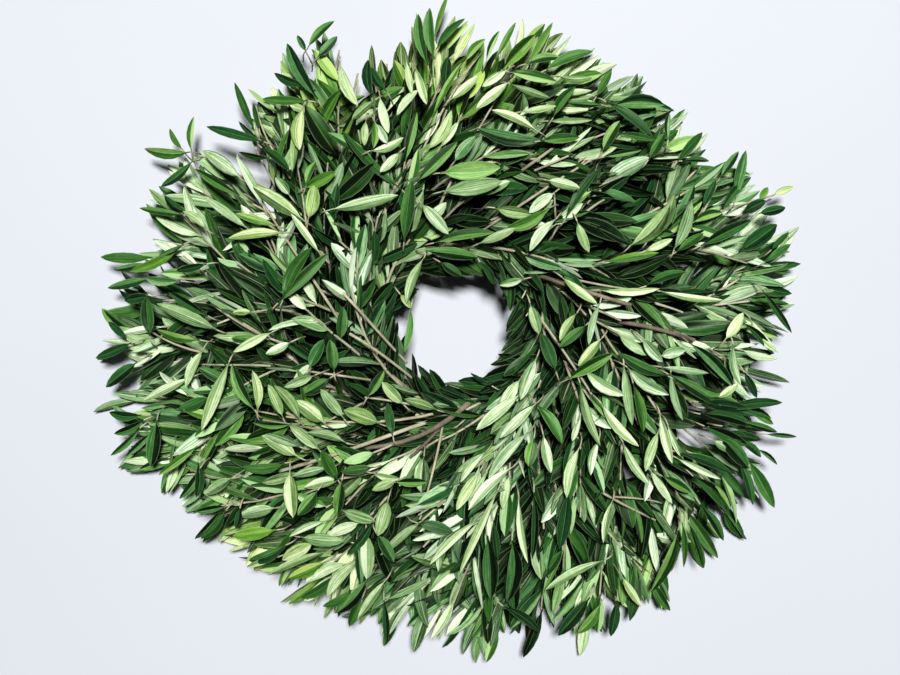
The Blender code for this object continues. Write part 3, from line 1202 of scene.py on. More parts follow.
TIERS = (
    Tier(
        name="outer", side=1, row=0, exit_rise=0,
        tip_radius=0.253, tip_swing=38, tip_height=0.018, tip_heading=20, tip_rise=0,
        leaf_size=1.12, first_leaf=0.045, pair_spacing=0.0145, bare=0.45,
        shoots=(
            Shoot(0.12, -16, 0.91, 0.30),
            Shoot(0.28, 12, 0.89, 0.45),
            Shoot(0.44, -8, 0.92, 0.60),
            Shoot(0.62, 16, 0.91, 0.40),
        ),
    ),
    Tier(
        name="middle", side=-1, row=0, exit_rise=8,
        tip_radius=0.234, tip_swing=51, tip_height=0.046, tip_heading=26, tip_rise=-6,
        leaf_size=1.12, first_leaf=0.035, pair_spacing=0.0145, bare=0.32,
        shoots=(
            Shoot(0.10, -18, 0.89, 0.65),
            Shoot(0.26, 6, 0.82, 0.85),
            Shoot(0.45, -12, 0.88, 0.75),
            Shoot(0.64, 16, 0.92, 0.60),
        ),
    ),
    Tier(
        name="crown", side=1, row=1, exit_rise=24,
        tip_radius=0.168, tip_swing=66, tip_height=0.076, tip_heading=42, tip_rise=-6,
        leaf_size=1.08, first_leaf=0.020, pair_spacing=0.0145, bare=0.18,
        shoots=(
            Shoot(0.10, -24, 0.62, 0.95),
            Shoot(0.28, -4, 0.68, 1.05),
            Shoot(0.48, -18, 0.66, 1.0),
            Shoot(0.70, 18, 0.60, 1.0),
        ),
    ),
    Tier(
        name="inner", side=-1, row=1, exit_rise=20,
        tip_radius=0.066, tip_swing=78, tip_height=0.046, tip_heading=84, tip_rise=2,
        leaf_size=0.94, first_leaf=0.012, pair_spacing=0.0135, bare=0.15,
        shoots=(
            Shoot(0.15, -22, 0.44, 1.0),
            Shoot(0.42, -6, 0.42, 1.05),
            Shoot(0.68, 10, 0.36, 0.95),
        ),
    ),
)


def cad_stem(tier: Tier, bunch: int, name: str) -> Branch:
    """The line of the CAD model's stem of that name, by the same rule and the same draws.

    Args:
        tier: The sprig's tier.
        bunch: The number of its bunch, from 0.
        name: The name of the CAD node.

    Returns:
        The stem from its clamp to its tip, with its butt behind the clamp.
    """
    draw = Draw(f"{name} spine {REDRAWN_STEMS.get(name, 0)}")
    angle = FIRST_BUNCH - bunch * BUNCH_STEP
    along = heading(angle, BUNDLE_HEADING)
    seat = polar(RING_RADIUS, angle, LOWER_STEM_Z + tier.row * STEM_PITCH)
    seat += UP.cross(along) * tier.side * STEM_PITCH / 2
    tip_angle = angle - math.radians(tier.tip_swing + either_way(draw, SWING_DRAW))
    rim = 1 + RIM_OVAL * math.cos(2 * tip_angle)
    rim += RIM_FULLER * math.cos(tip_angle - FULLER_SIDE)
    radius = tier.tip_radius * rim * (1 + either_way(draw, RADIUS_DRAW))
    height = tier.tip_height + either_way(draw, HEIGHT_DRAW)
    butt = seat - along * BUTT_BEHIND_CLAMP * draw.uniform(*BUTT_DRAW)
    root = seat + along * STRAIGHT_AFTER_CLAMP
    tip = polar(radius, tip_angle, height)
    pull = (tip - root).length * STEM_PULL
    leave = heading(angle, BUNDLE_HEADING, math.radians(tier.exit_rise))
    turn = math.radians(tier.tip_heading + either_way(draw, HEADING_DRAW))
    arrive = heading(tip_angle, turn, math.radians(tier.tip_rise))
    return Branch(
        root, root + leave * pull, tip - arrive * pull, tip, STEM_RADIUS, STEM_TIP_RADIUS, butt
    )


@dataclass
class LeafStock:
    """The modelled leaves that every sprig is dressed with, copied one by one."""

    forms: tuple[LeafForm, ...]
    masters: list[Object] = field(init=False)
    corners: list[np.ndarray] = field(init=False)

    def __post_init__(self) -> None:
        """Models each form once."""
        self.masters = [form.model() for form in self.forms]
        self.corners = [
            np.array([vertex.co[:] for vertex in master.data.vertices]) for master in self.masters
        ]

    def choose(self, broad: float, draw: Draw) -> int:
        """Draws the number of a form: a broad one as often as that share says."""
        outline = Outline.ELLIPSE if draw.random() < broad else Outline.LANCE
        return draw.choice([n for n, form in enumerate(self.forms) if form.outline is outline])

    def points(self, form: int, matrix: Matrix) -> np.ndarray:
        """The points of a leaf of that form once it is in its place."""
        turned = self.corners[form] @ np.array(matrix.to_3x3()).T
        return turned + np.array(matrix.translation)

    def place(self, form: int, matrix: Matrix, tint: Tint) -> Object:
        """Copies a leaf, with its own mesh, into its place.

        Args:
            form: The number of the leaf's form.
            matrix: Where the leaf goes, from its modelled place.
            tint: Its tone, warmth and own number.

        Returns:
            The copy, at the origin with its place in its mesh.
        """
        master = self.masters[form]
        leaf = master.copy()
        leaf.data = master.data.copy()
        leaf.data.transform(matrix)
        paint(leaf.data.attributes[LEAF_TINT], tint)
        bpy.context.scene.collection.objects.link(leaf)
        return leaf

    def clear(self) -> None:
        """Removes the modelled leaves once every sprig has its copies."""
        for master in self.masters:
            bpy.data.objects.remove(master)


@dataclass
class Wood:
    """Stems, modelled as one bevelled curve and made a mesh."""

    lines: list[Branch]
    name: str
    youth: float

    bevel_rings: int = 2
    curve_steps: int = 7

    def model(self) -> Object:
        """Models the stems, each thinning to its tip, with closed ends.

        Returns:
            The stems as one mesh object.
        """
        curve = new_curve(self.name, 1.0, self.bevel_rings).data
        for line in self.lines:
            add_spline(curve, self.knots(line), self.curve_steps)
        bpy.ops.object.convert(target="MESH")
        stems = bpy.context.object
        while stems.data.uv_layers:
            stems.data.uv_layers.remove(stems.data.uv_layers[0])
        stems.data.uv_layers.new(name=LEAF_MAP)
        tints = stems.data.attributes.new(LEAF_TINT, "FLOAT_COLOR", "POINT")
        paint(tints, (self.youth, 0.0, 0.0))
        return stems

    def knots(self, line: Branch) -> list[Knot]:
        """The knots of one stem, with its straight butt where it has one.

        Args:
            line: The stem.

        Returns:
            The place, both handles and the radius of each knot.
        """
        if line.butt is None:
            butts, before_root = [], line.root
        else:
            after_butt = line.butt.lerp(line.root, 1 / 3)
            before_root = line.butt.lerp(line.root, 2 / 3)
            butts = [(line.butt, line.butt, after_butt, line.root_radius)]
        root = (line.root, before_root, line.root_pull, line.root_radius)
        tip = (line.tip, line.tip_pull, line.tip, line.tip_radius)
        return [*butts, root, tip]


@dataclass(frozen=True)
class Gap:
    """A gap through which the floor shows, by the pixel of its middle and its radius in metres."""

    place: Pixel
    radius: float


GAPS = (
    Gap((360, 57), 0.010),
    Gap((357, 74), 0.012),
    Gap((359, 91), 0.009),
    Gap((258, 174), 0.009),
    Gap((271, 207), 0.008),
    Gap((687, 434), 0.009),
    Gap((629, 471), 0.007),
    Gap((150, 240), 0.008),
    Gap((222, 150), 0.008),
    Gap((240, 130), 0.009),
)


@dataclass
class Bounds:
    """Where leaves may be: the CAD model's box and the ring's centre on the floor."""

    low: Vector
    high: Vector
    centre: Vector

    def hold(self, points: np.ndarray) -> bool:
        """Tests whether a leaf is off the floor, out of the hole and gaps, and near the rim and box.

        Args:
            points: The leaf's points.

        Returns:
            True where it is.
        """
        low = np.array((self.low.x - PROUD_OF_BOX, self.low.y - PROUD_OF_BOX, LOWEST_LEAF))
        high = np.array(self.high) + PROUD_OF_BOX
        if (points < low).any() or (points > high).any():
            return False
        from_axis = np.hypot(points[:, 0] - self.centre.x, points[:, 1] - self.centre.y)
        if (points[:, 2] > np.interp(from_axis, *zip(*CANOPY)) + ABOVE_CANOPY).any():
            return False
        for gap in GAPS:
            middle = seen_at(gap.place, RIM_HEIGHT)
            if (np.hypot(points[:, 0] - middle.x, points[:, 1] - middle.y) < gap.radius).any():
                return False
        farthest = Vector(points[from_axis.argmax()]) - self.centre
        return from_axis.min() > HOLE_RADIUS and from_axis.max() < rim_at(farthest) + PROUD_OF_RIM


@dataclass
class Foliage:
    """The leaves of one branch: opposite pairs, each pair turned against the last, and a tip leaf.

    Each spread is a leaf's angle from its branch and each lean its angle from the level, in
    degrees. Each value that ends in draw is how far a drawn one may be off on either side.
    """

    branch: Branch
    name: str
    bounds: Bounds
    stock: LeafStock
    leaf_size: float
    first_leaf: float
    pair_spacing: float

    tip_leaf_at: float = 0.99
    lance_spread: float = 27
    broad_spread: float = 52
    tip_spread: float = 20
    spread_draw: float = 14
    tip_leaf_draw: float = 10
    to_the_lay: float = 0.5
    near_hole: float = 0.080
    hole_spread: float = 20
    stray_share: float = 0.18
    stray_draw: float = 50
    young_from: float = 0.6
    young_size: float = 0.74
    size_draw: float = 0.14
    breadth_draw: float = 0.12
    level_lean: float = 6
    level_draw: float = 22
    right_lean: float = 34
    left_lean: float = -40
    crossed_draw: float = 28
    twist_draw: float = 62
    tries: int = 10

    usual_at: float = 0.6
    half_leaf: float = 0.1
    turned_share: float = 0.14
    back_share_of_backs: float = 0.84
    backs_lost_in_shade: float = 0.7
    lift_of_backs: float = 0.14
    branch_tone_draw: float = 0.14
    branch_warmth_draw: float = 0.22
    tone_draw: float = 0.42
    warmth_draw: float = 0.16
    fresh_from: float = 0.75
    fresh_tone: float = 0.3
    fresh_warmth: float = 0.4

    def grow(self) -> list[Object]:
        """Places the leaves of the branch.

        Returns:
            The leaves.
        """
        draw = Draw(self.name)
        usual = character_at(self.branch.at(self.usual_at) - self.bounds.centre)
        shows_backs = draw.random() < usual.backs
        branch_tone = either_way(draw, self.branch_tone_draw)
        branch_warmth = either_way(draw, self.branch_warmth_draw)
        leaves = []
        for place in self.places():
            share = place[0]
            middle = self.branch.at(min(1.0, share + self.half_leaf)) - self.bounds.centre
            here = character_at(middle)
            # Painted shade: the deeper a leaf lies below the foliage's top, the darker its tone is
            # painted and the fewer of its backs are turned up.
            depth = painted_shade_at(middle)
            turned = self.back_share_of_backs if shows_backs else self.turned_share
            turned *= 1 - depth * self.backs_lost_in_shade
            side = Side.BACK if draw.random() < turned else Side.UPPER
            fresh = max(0.0, share - self.fresh_from)
            lift = self.lift_of_backs if side is Side.BACK else 0.0
            tone = here.tone + lift + branch_tone + either_way(draw, self.tone_draw)
            warmth = here.warmth + branch_warmth + either_way(draw, self.warmth_draw)
            tint = (
                clamp(tone + fresh * self.fresh_tone - depth),
                clamp(warmth + fresh * self.fresh_warmth),
                draw.random(),
            )
            leaf = self.grow_leaf(place, side, tint, here.broad, draw)
            if leaf is not None:
                leaves.append(leaf)
        return leaves

    def places(self) -> Iterator[tuple[float, int, int]]:
        """Goes along the branch from leaf to leaf.

        Yields:
            The share of the branch, the side and the pair's number of each leaf.
        """
        length = self.branch.length
        pairs = max(1, int((length - self.first_leaf) / self.pair_spacing))
        for pair in range(pairs):
            share = (self.first_leaf + self.pair_spacing * pair) / length
            yield share, -1, pair
            yield share, 1, pair
        yield self.tip_leaf_at, 0, pairs

    def grow_leaf(
        self,
        place: tuple[float, int, int],
        side: Side,
        tint: Tint,
        broad: float,
        draw: Draw,
    ) -> Object | None:
        """Draws a leaf until it is within bounds.

        Args:
            place: The share of the branch, the side and the pair's number.
            side: The side that faces up.
            tint: The leaf's tone, warmth and own number.
            broad: How often a leaf is broad here.
            draw: The branch's own draws.

        Returns:
            The leaf, or None where no draw was within bounds.
        """
        for _ in range(self.tries):
            form = self.stock.choose(broad, draw)
            matrix = self.draw_place(place, side, broad, draw)
            if self.bounds.hold(self.stock.points(form, matrix)):
                return self.stock.place(form, matrix, tint)
        return None

    def turned_to_the_lay(self, share: float) -> Vector:
        """Turns the branch's direction part of the way to the lay of the leaves.

        Args:
            share: The share of the branch.

        Returns:
            The turned direction there.
        """
        along = self.branch.direction(share)
        lay = lay_at(self.branch.at(share) - self.bounds.centre)
        apart = along.xy.angle_signed(lay.xy, 0.0)
        return Matrix.Rotation(-apart * self.to_the_lay, 3, "Z") @ along

    def draw_place(
        self, place: tuple[float, int, int], side: Side, broad: float, draw: Draw
    ) -> Matrix:
        """Draws where a leaf goes.

        Args:
            place: The share of the branch, the side and the pair's number.
            side: The side that faces up.
            broad: How often a leaf is broad here.
            draw: The branch's own draws.

        Returns:
            The leaf's place, from its modelled one.
        """
        share, hand, pair = place
        along = self.turned_to_the_lay(share)
        if draw.random() < self.stray_share:
            stray = math.radians(either_way(draw, self.stray_draw))
            along = Matrix.Rotation(stray, 3, "Z") @ along
        level = along.cross(UP).normalized()
        up = level.cross(along).normalized()
        youth = max(0.0, (share - self.young_from) / (1 - self.young_from))
        size = self.leaf_size * (1 + either_way(draw, self.size_draw))
        size *= 1 + (self.young_size - 1) * youth**2
        spread = self.lance_spread + (self.broad_spread - self.lance_spread) * broad
        spread += (self.tip_spread - spread) * clamp(share) ** 2
        from_axis = (self.branch.at(share) - self.bounds.centre).xy.length
        if hand == 1 and from_axis < self.near_hole:
            spread += self.hole_spread
        spread = math.radians(spread + either_way(draw, self.spread_draw))
        if hand == 0:
            spread = math.radians(either_way(draw, self.tip_leaf_draw))
            lean = math.pi / 2
        elif pair % 2:
            usual_lean = self.right_lean if hand == 1 else self.left_lean
            lean = math.radians(usual_lean + either_way(draw, self.crossed_draw))
        else:
            lean = math.radians(either_way(draw, self.level_draw) + self.level_lean)
        out = level * (hand or 1) * math.cos(lean) + up * math.sin(lean)
        grow = along * math.cos(spread) + out * math.sin(spread)
        twist = math.radians(either_way(draw, self.twist_draw))
        face = up * math.cos(twist) + level * math.sin(twist)
        if side is Side.BACK:
            face.negate()
        across = face.cross(grow).normalized()
        face = grow.cross(across).normalized()
        breadth = size * (1 + either_way(draw, self.breadth_draw))
        axes = Matrix((grow * size, across * breadth, face * size)).transposed().to_4x4()
        return Matrix.Translation(self.branch.at(share)) @ axes


@dataclass
class Finishes:
    """The wreath's materials, each built once."""

    upper: Material = field(default_factory=WAXY_UPPER.build)
    back: Material = field(default_factory=FELTED_BACK.build)
    bark: Material = field(default_factory=BarkFinish().build)
    lacquer: Material = field(default_factory=WIRE_LACQUER.build)
    floor: Material = field(default_factory=FLOOR_PAINT.build)


def dress_sprig(
    wood: Object, leaves: list[Object], name: str, finishes: Finishes
) -> Object:
    """Gives wood and leaves their materials and joins them to one piece.

    Args:
        wood: The stems.
        leaves: The leaves, whose two sides have their slots already.
        name: The piece's name.
        finishes: The wreath's materials.

    Returns:
        The joined piece.
    """
    slots = (finishes.upper, finishes.back, finishes.bark)
    for material in slots:
        wood.data.materials.append(material)
    bark = np.full(len(wood.data.polygons), Slot.BARK.value, np.int32)
    wood.data.polygons.foreach_set("material_index", bark)
    for leaf in leaves:
        for slot, material in enumerate(slots):
            leaf.data.materials[slot] = material
    return join([wood, *leaves], name)


@dataclass
class Sprig:
    """One fine sprig: a main stem along the CAD stem, its side shoots and their leaves."""

    tier: Tier
    bunch: int
    bounds: Bounds
    stock: LeafStock
    finishes: Finishes

    shoot_handle: float = 0.34
    shoot_radius: float = 0.0016
    shoot_tip_radius: float = 0.0008
    old_wood: float = 0.5
    young_wood: float = 0.9
    fork_draw: float = 0.05
    turn_draw: float = 14
    reach_draw: float = 0.05
    level_draw: float = 0.08
    pull_of_the_lay: float = 2
    lowest_tip: float = 0.010
    trace_step: float = 0.01
    trace_steps: int = 20

    @property
    def name(self) -> str:
        """The name of the CAD node that the sprig stands for."""
        return f"sprig_{self.tier.name}_{self.bunch + 1:02d}"

    def build(self) -> Object:
        """Builds the sprig as one piece in place of its CAD node.

        Returns:
            The piece.
        """
        branches = self.branches()
        for branch in branches:
            self.shift(branch)
        wood = join(
            [
                Wood(branches[:1], self.name + "_stem", self.old_wood).model(),
                Wood(branches[1:], self.name + "_shoots", self.young_wood).model(),
            ],
            self.name + "_wood",
        )
        leaves = []
        for number, branch in enumerate(branches):
            foliage = Foliage(
                branch,
                f"{self.name} branch {number}",
                self.bounds,
                self.stock,
                self.tier.leaf_size,
                self.tier.first_leaf if number == 0 else branch.length * self.tier.bare,
                self.tier.pair_spacing,
            )
            leaves += foliage.grow()
        piece = dress_sprig(wood, leaves, self.name + "_fine", self.finishes)
        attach(piece, "root")
        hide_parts(self.name)
        self.record_slot()
        LOG.info("%s: %d leaves, %d faces", piece.name, len(leaves), len(piece.data.polygons))
        return piece

    def branches(self) -> list[Branch]:
        """Plans the main stem and its side shoots.

        Returns:
            The stem and the shoots, measured from the ring's axis.
        """
        main = cad_stem(self.tier, self.bunch, self.name)
        draw = Draw(self.name + " shoots")
        return [main, *(self.shoot(main, plan, draw) for plan in self.tier.shoots)]

    def shoot(self, main: Branch, plan: Shoot, draw: Draw) -> Branch:
        """Plans a side shoot, which follows the lay of the leaves.

        Args:
            main: The main stem.
            plan: The shoot's plan.
            draw: The sprig's own draws for its shoots.

        Returns:
            The shoot, from its fork to its share of the rim.
        """
        root = main.at(plan.fork + either_way(draw, self.fork_draw))
        turn = plan.turn + either_way(draw, self.turn_draw)
        reach = plan.reach * (1 + either_way(draw, self.reach_draw))
        tip = self.trace(root, turn, reach)
        level = plan.level * (1 + either_way(draw, self.level_draw))
        tip.z = max(self.lowest_tip, canopy_at(tip) * level)
        pull = (tip - root).length * self.shoot_handle
        leave = (main.direction(plan.fork) + lay_at(root, turn)).normalized()
        arrive = lay_at(tip, turn) * self.pull_of_the_lay + (tip - root).normalized()
        arrive.normalize()
        return Branch(
            root, root + leave * pull, tip - arrive * pull, tip, self.shoot_radius, self.shoot_tip_radius
        )

    def trace(self, root: Vector, turn: float, reach: float) -> Vector:
        """Steps along the lay of the leaves from a root.

        Args:
            root: Where the steps start, measured from the ring's axis.
            turn: How far clockwise of the lay they go, in degrees.
            reach: The share of the rim's distance at which they end.

        Returns:
            Where they end, at the root's height.
        """
        point = root.copy()
        for _ in range(self.trace_steps):
            if point.xy.length > reach * rim_at(point):
                break
            point += lay_at(point, turn) * self.trace_step
        return point

    def shift(self, branch: Branch) -> None:
        """Moves a branch from the ring's axis to the CAD frame.

        Args:
            branch: The branch.
        """
        for name in ("root", "root_pull", "tip_pull", "tip", "butt"):
            point = getattr(branch, name)
            if point is not None:
                setattr(branch, name, point + self.bounds.centre)

    def record_slot(self) -> str:
        """The material slot that the record gives the CAD node."""
        rows = frame["record"]["subparts"]
        return next(row["material_slot"] for row in rows if row["node"] == self.name)


@dataclass(frozen=True)
class SeenLeaf:
    """A leaf that stands out, by the pixels at which the camera sees its root and its tip."""

    root: Pixel
    tip: Pixel
    width: int
    side: Side
    tone: float
    warmth: float


@dataclass(frozen=True)
class SeenStem:
    """A bare stem that stands out, by the four pixels of its curve, with its sizes in metres.

    tip_rise is how far its tip is above the foliage's top.
    """

    root: Pixel
    root_pull: Pixel
    tip_pull: Pixel
    tip: Pixel
    radius: float
    tip_radius: float
    tip_rise: float = -0.008


def upper(root: Pixel, tip: Pixel, width: int, tone: int, warmth: int) -> SeenLeaf:
    """A leaf that stands out with its upper side up, its tone and warmth in hundredths."""
    return SeenLeaf(root, tip, width, Side.UPPER, tone / 100, warmth / 100)


def back(root: Pixel, tip: Pixel, width: int, tone: int, warmth: int) -> SeenLeaf:
    """A leaf that stands out with its back up, its tone and warmth in hundredths."""
    return SeenLeaf(root, tip, width, Side.BACK, tone / 100, warmth / 100)


# What stands out, part by part. A leaf has the pixels of its root and tip, its width in pixels,
# its tone and its warmth; a stem has the four pixels of its curve and its two radii.
LOWER_LEFT_LEAVES = (
    back((257, 412), (253, 370), 10, 75, 75), upper((255, 410), (231, 364), 12, 45, 30),
    back((283, 418), (268, 385), 10, 55, 60), back((300, 421), (275, 385), 11, 50, 55),
    back((325, 424), (294, 402), 15, 60, 60), back((344, 419), (321, 389), 11, 55, 30),
    back((380, 424), (344, 411), 15, 40, 80), upper((292, 424), (252, 423), 7, 40, 30),
    back((320, 451), (289, 426), 12, 60, 50), back((346, 443), (307, 432), 9, 50, 30),
    back((300, 447), (266, 434), 9, 45, 20), back((298, 457), (260, 437), 15, 65, 60),
    upper((285, 463), (241, 468), 11, 60, 25), back((290, 470), (293, 519), 14, 70, 65),
    back((328, 468), (293, 476), 9, 50, 20), upper((338, 480), (321, 450), 11, 35, 50),
    upper((373, 467), (341, 472), 9, 30, 50), upper((342, 480), (337, 515), 11, 40, 40),
    upper((318, 490), (299, 514), 12, 50, 30), back((341, 510), (374, 522), 12, 45, 40),
    back((388, 500), (378, 535), 14, 60, 50), upper((418, 523), (453, 532), 11, 30, 5),
    upper((393, 436), (388, 403), 9, 35, 0), upper((330, 378), (303, 394), 12, 35, 30),
    upper((367, 398), (384, 370), 9, 40, 40), back((404, 405), (382, 382), 11, 60, 60),
    back((437, 410), (405, 400), 10, 40, 50), back((397, 481), (373, 491), 10, 60, 65),
    back((372, 473), (400, 478), 7, 65, 50), upper((395, 482), (427, 482), 9, 35, 50),
    back((424, 456), (421, 492), 15, 40, 30), upper((309, 369), (325, 340), 12, 55, 5),
    upper((334, 372), (330, 340), 11, 40, 40), back((315, 375), (284, 387), 9, 50, 30),
)
LOWER_LEFT_STEMS = (
    SeenStem((452, 414), (400, 430), (350, 452), (280, 471), 0.0017, 0.0015),
    SeenStem((440, 412), (400, 424), (330, 428), (257, 411), 0.0013, 0.0007),
    SeenStem((444, 416), (441, 440), (434, 470), (419, 522), 0.0011, 0.0009),
    SeenStem((437, 410), (410, 404), (385, 399), (360, 397), 0.0010, 0.0008),
    SeenStem((370, 380), (350, 377), (330, 374), (305, 371), 0.0010, 0.0008),
    SeenStem((350, 334), (370, 345), (390, 360), (412, 378), 0.0013, 0.0011),
    SeenStem((341, 478), (325, 485), (312, 491), (300, 496), 0.0010, 0.0008),
)

BROWN_STEMS = (
    SeenStem((470, 402), (445, 425), (415, 445), (366, 448), 0.0024, 0.0017),
    SeenStem((446, 420), (430, 442), (412, 455), (395, 472), 0.0015, 0.0011),
    SeenStem((540, 276), (570, 285), (600, 297), (631, 305), 0.0018, 0.0016, 0.006),
    SeenStem((620, 322), (650, 326), (670, 332), (694, 340), 0.0018, 0.0016, 0.006),
)

UPPER_LEFT_LEAVES = (
    upper((192, 152), (193, 116), 8, 75, 35), upper((190, 152), (143, 149), 11, 60, 40),
    upper((183, 150), (169, 128), 6, 55, 30), upper((193, 161), (160, 186), 9, 35, 10),
    upper((277, 226), (235, 213), 8, 75, 60), back((283, 233), (230, 239), 10, 75, 90),
    upper((283, 300), (310, 247), 14, 35, 45), upper((278, 303), (329, 253), 11, 25, 70),
    back((308, 220), (315, 184), 14, 60, 90), upper((305, 188), (335, 172), 11, 50, 80),
    upper((306, 186), (316, 161), 7, 55, 50), back((303, 220), (254, 187), 15, 50, 60),
    back((320, 254), (291, 214), 7, 85, 50), back((290, 196), (275, 176), 9, 55, 20),
    upper((402, 190), (341, 130), 9, 40, 20), back((330, 210), (398, 195), 12, 60, 30),
    upper((255, 131), (234, 82), 8, 40, 30), upper((264, 142), (206, 126), 10, 38, 0),
    upper((259, 139), (238, 121), 5, 20, 10), upper((259, 129), (253, 103), 5, 28, 20),
    upper((262, 148), (288, 170), 9, 30, 10), upper((270, 158), (238, 152), 6, 5, 20),
)
UPPER_LEFT_STEMS = (
    SeenStem((290, 178), (276, 156), (262, 136), (256, 106), 0.0009, 0.0006, 0.004),
    SeenStem((232, 196), (212, 186), (196, 178), (192, 152), 0.0010, 0.0007),
    SeenStem((345, 330), (310, 270), (265, 215), (237, 155), 0.0013, 0.0008),
    SeenStem((340, 290), (360, 310), (380, 335), (407, 363), 0.0013, 0.0011),
    SeenStem((308, 240), (306, 222), (304, 200), (298, 170), 0.0010, 0.0007),
)

UPPER_MIDDLE_LEAVES = (
    upper((545, 140), (478, 129), 14, 38, 0), upper((440, 173), (500, 167), 17, 78, 50),
    back((441, 192), (502, 181), 16, 60, 35), upper((404, 242), (412, 180), 13, 42, 30),
    upper((417, 182), (457, 142), 12, 45, 35), upper((549, 208), (506, 229), 12, 60, 50),
    back((555, 192), (529, 212), 11, 90, 20), back((556, 219), (530, 251), 10, 90, 30),
    upper((566, 218), (599, 168), 9, 25, 0), back((577, 221), (589, 252), 9, 60, 50),
    back((421, 203), (448, 234), 12, 75, 20), back((537, 131), (492, 110), 9, 80, 60),
    back((520, 112), (556, 106), 7, 75, 60), back((495, 208), (532, 214), 12, 40, 60),
    back((546, 180), (580, 188), 10, 75, 40), back((478, 244), (516, 228), 9, 70, 50),
    upper((425, 251), (478, 257), 13, 30, 30), upper((434, 243), (494, 232), 10, 40, 40),
)
UPPER_MIDDLE_STEMS = (
    SeenStem((470, 238), (520, 207), (555, 180), (598, 156), 0.0013, 0.0009),
    SeenStem((425, 240), (445, 190), (470, 140), (512, 74), 0.0012, 0.0007),
    SeenStem((404, 195), (425, 140), (450, 90), (482, 52), 0.0011, 0.0007),
    SeenStem((556, 224), (555, 214), (555, 204), (554, 190), 0.0009, 0.0007),
    SeenStem((520, 172), (536, 160), (548, 152), (556, 146), 0.0013, 0.0012),
)

RIGHT_LEAVES = (
    back((600, 290), (659, 289), 8, 90, 60), back((660, 291), (722, 300), 7, 85, 50),
    upper((556, 372), (541, 333), 12, 35, 10), upper((568, 379), (613, 354), 12, 42, 50),
    upper((668, 376), (620, 353), 11, 35, 20), back((562, 277), (597, 304), 9, 80, 60),
    back((600, 303), (589, 345), 7, 70, 10), back((624, 364), (632, 425), 10, 55, 30),
    back((584, 369), (625, 396), 12, 75, 30), back((601, 403), (638, 446), 10, 90, 50),
    back((580, 383), (600, 446), 9, 50, 40), back((627, 367), (668, 394), 12, 60, 20),
    back((660, 414), (672, 463), 10, 80, 50), back((659, 431), (645, 471), 11, 75, 50),
    back((580, 447), (566, 497), 11, 80, 50), back((543, 434), (551, 473), 10, 75, 30),
    upper((536, 404), (562, 443), 11, 45, 40), upper((534, 438), (529, 466), 12, 35, 80),
    upper((633, 383), (643, 433), 9, 45, 50), back((623, 442), (648, 484), 9, 80, 40),
    back((530, 303), (539, 334), 11, 55, 40), back((577, 313), (560, 341), 8, 65, 60),
    upper((586, 325), (560, 347), 9, 50, 30), back((602, 338), (578, 366), 10, 60, 80),
    back((537, 357), (520, 400), 12, 75, 25), back((537, 403), (500, 438), 10, 85, 30),
    back((521, 378), (499, 413), 12, 80, 40), back((642, 338), (664, 362), 11, 60, 10),
)
RIGHT_STEMS = (
    SeenStem((540, 318), (560, 345), (580, 375), (600, 408), 0.0012, 0.0008),
    SeenStem((602, 330), (612, 350), (622, 358), (626, 366), 0.0011, 0.0008),
    SeenStem((645, 392), (652, 402), (657, 410), (660, 416), 0.0010, 0.0008),
    SeenStem((560, 276), (590, 283), (620, 290), (662, 292), 0.0010, 0.0007),
)

FOOT_LEAVES = (
    back((521, 394), (476, 430), 12, 85, 35), back((529, 432), (488, 479), 11, 75, 15),
    back((513, 467), (468, 510), 11, 90, 25), back((486, 452), (460, 482), 9, 95, 30),
    back((480, 471), (456, 510), 11, 80, 75), back((478, 520), (430, 564), 8, 95, 45),
    back((498, 490), (459, 574), 8, 85, 60), upper((493, 520), (498, 560), 7, 25, 10),
    back((519, 498), (527, 562), 8, 80, 50), upper((534, 492), (532, 560), 7, 15, 10),
    back((579, 420), (572, 441), 6, 85, 30), back((599, 440), (591, 475), 8, 85, 30),
    upper((568, 490), (560, 550), 14, 30, 0), back((613, 500), (603, 542), 7, 70, 50),
    upper((487, 535), (492, 600), 17, 30, 10), upper((512, 540), (508, 605), 16, 25, 10),
    upper((503, 606), (541, 633), 9, 15, 10), upper((590, 597), (558, 636), 13, 18, 0),
    upper((601, 603), (577, 634), 10, 60, 50), upper((617, 600), (611, 637), 11, 25, 0),
    back((605, 560), (545, 590), 9, 60, 40), back((622, 577), (641, 606), 8, 75, 70),
)

FOOT_LEFT_LEAVES = (
    upper((226, 506), (196, 512), 7, 28, 10), upper((222, 508), (194, 540), 8, 20, 0),
    upper((226, 510), (200, 540), 10, 38, 20), upper((240, 508), (236, 528), 7, 15, 0),
    upper((277, 530), (232, 536), 13, 65, 95), upper((286, 545), (247, 561), 12, 42, 10),
    back((278, 557), (247, 567), 7, 55, 70), back((314, 543), (281, 562), 14, 75, 85),
    back((326, 552), (269, 575), 8, 50, 50), upper((326, 561), (288, 579), 12, 72, 95),
    back((347, 564), (312, 580), 11, 85, 40), upper((338, 573), (300, 600), 11, 38, 30),
    back((358, 561), (328, 595), 12, 75, 50), upper((352, 590), (322, 607), 9, 50, 30),
    upper((368, 578), (335, 614), 12, 32, 20), upper((362, 598), (349, 627), 10, 38, 40),
    back((386, 580), (358, 618), 10, 60, 50), upper((384, 600), (387, 645), 7, 22, 0),
    back((366, 532), (367, 578), 15, 80, 35), back((300, 537), (342, 541), 13, 50, 30),
    back((360, 523), (328, 537), 12, 95, 40), back((326, 521), (290, 536), 7, 85, 30),
    upper((373, 520), (346, 556), 9, 28, 10), upper((357, 545), (361, 585), 8, 50, 0),
    upper((377, 534), (393, 561), 11, 38, 20),
)

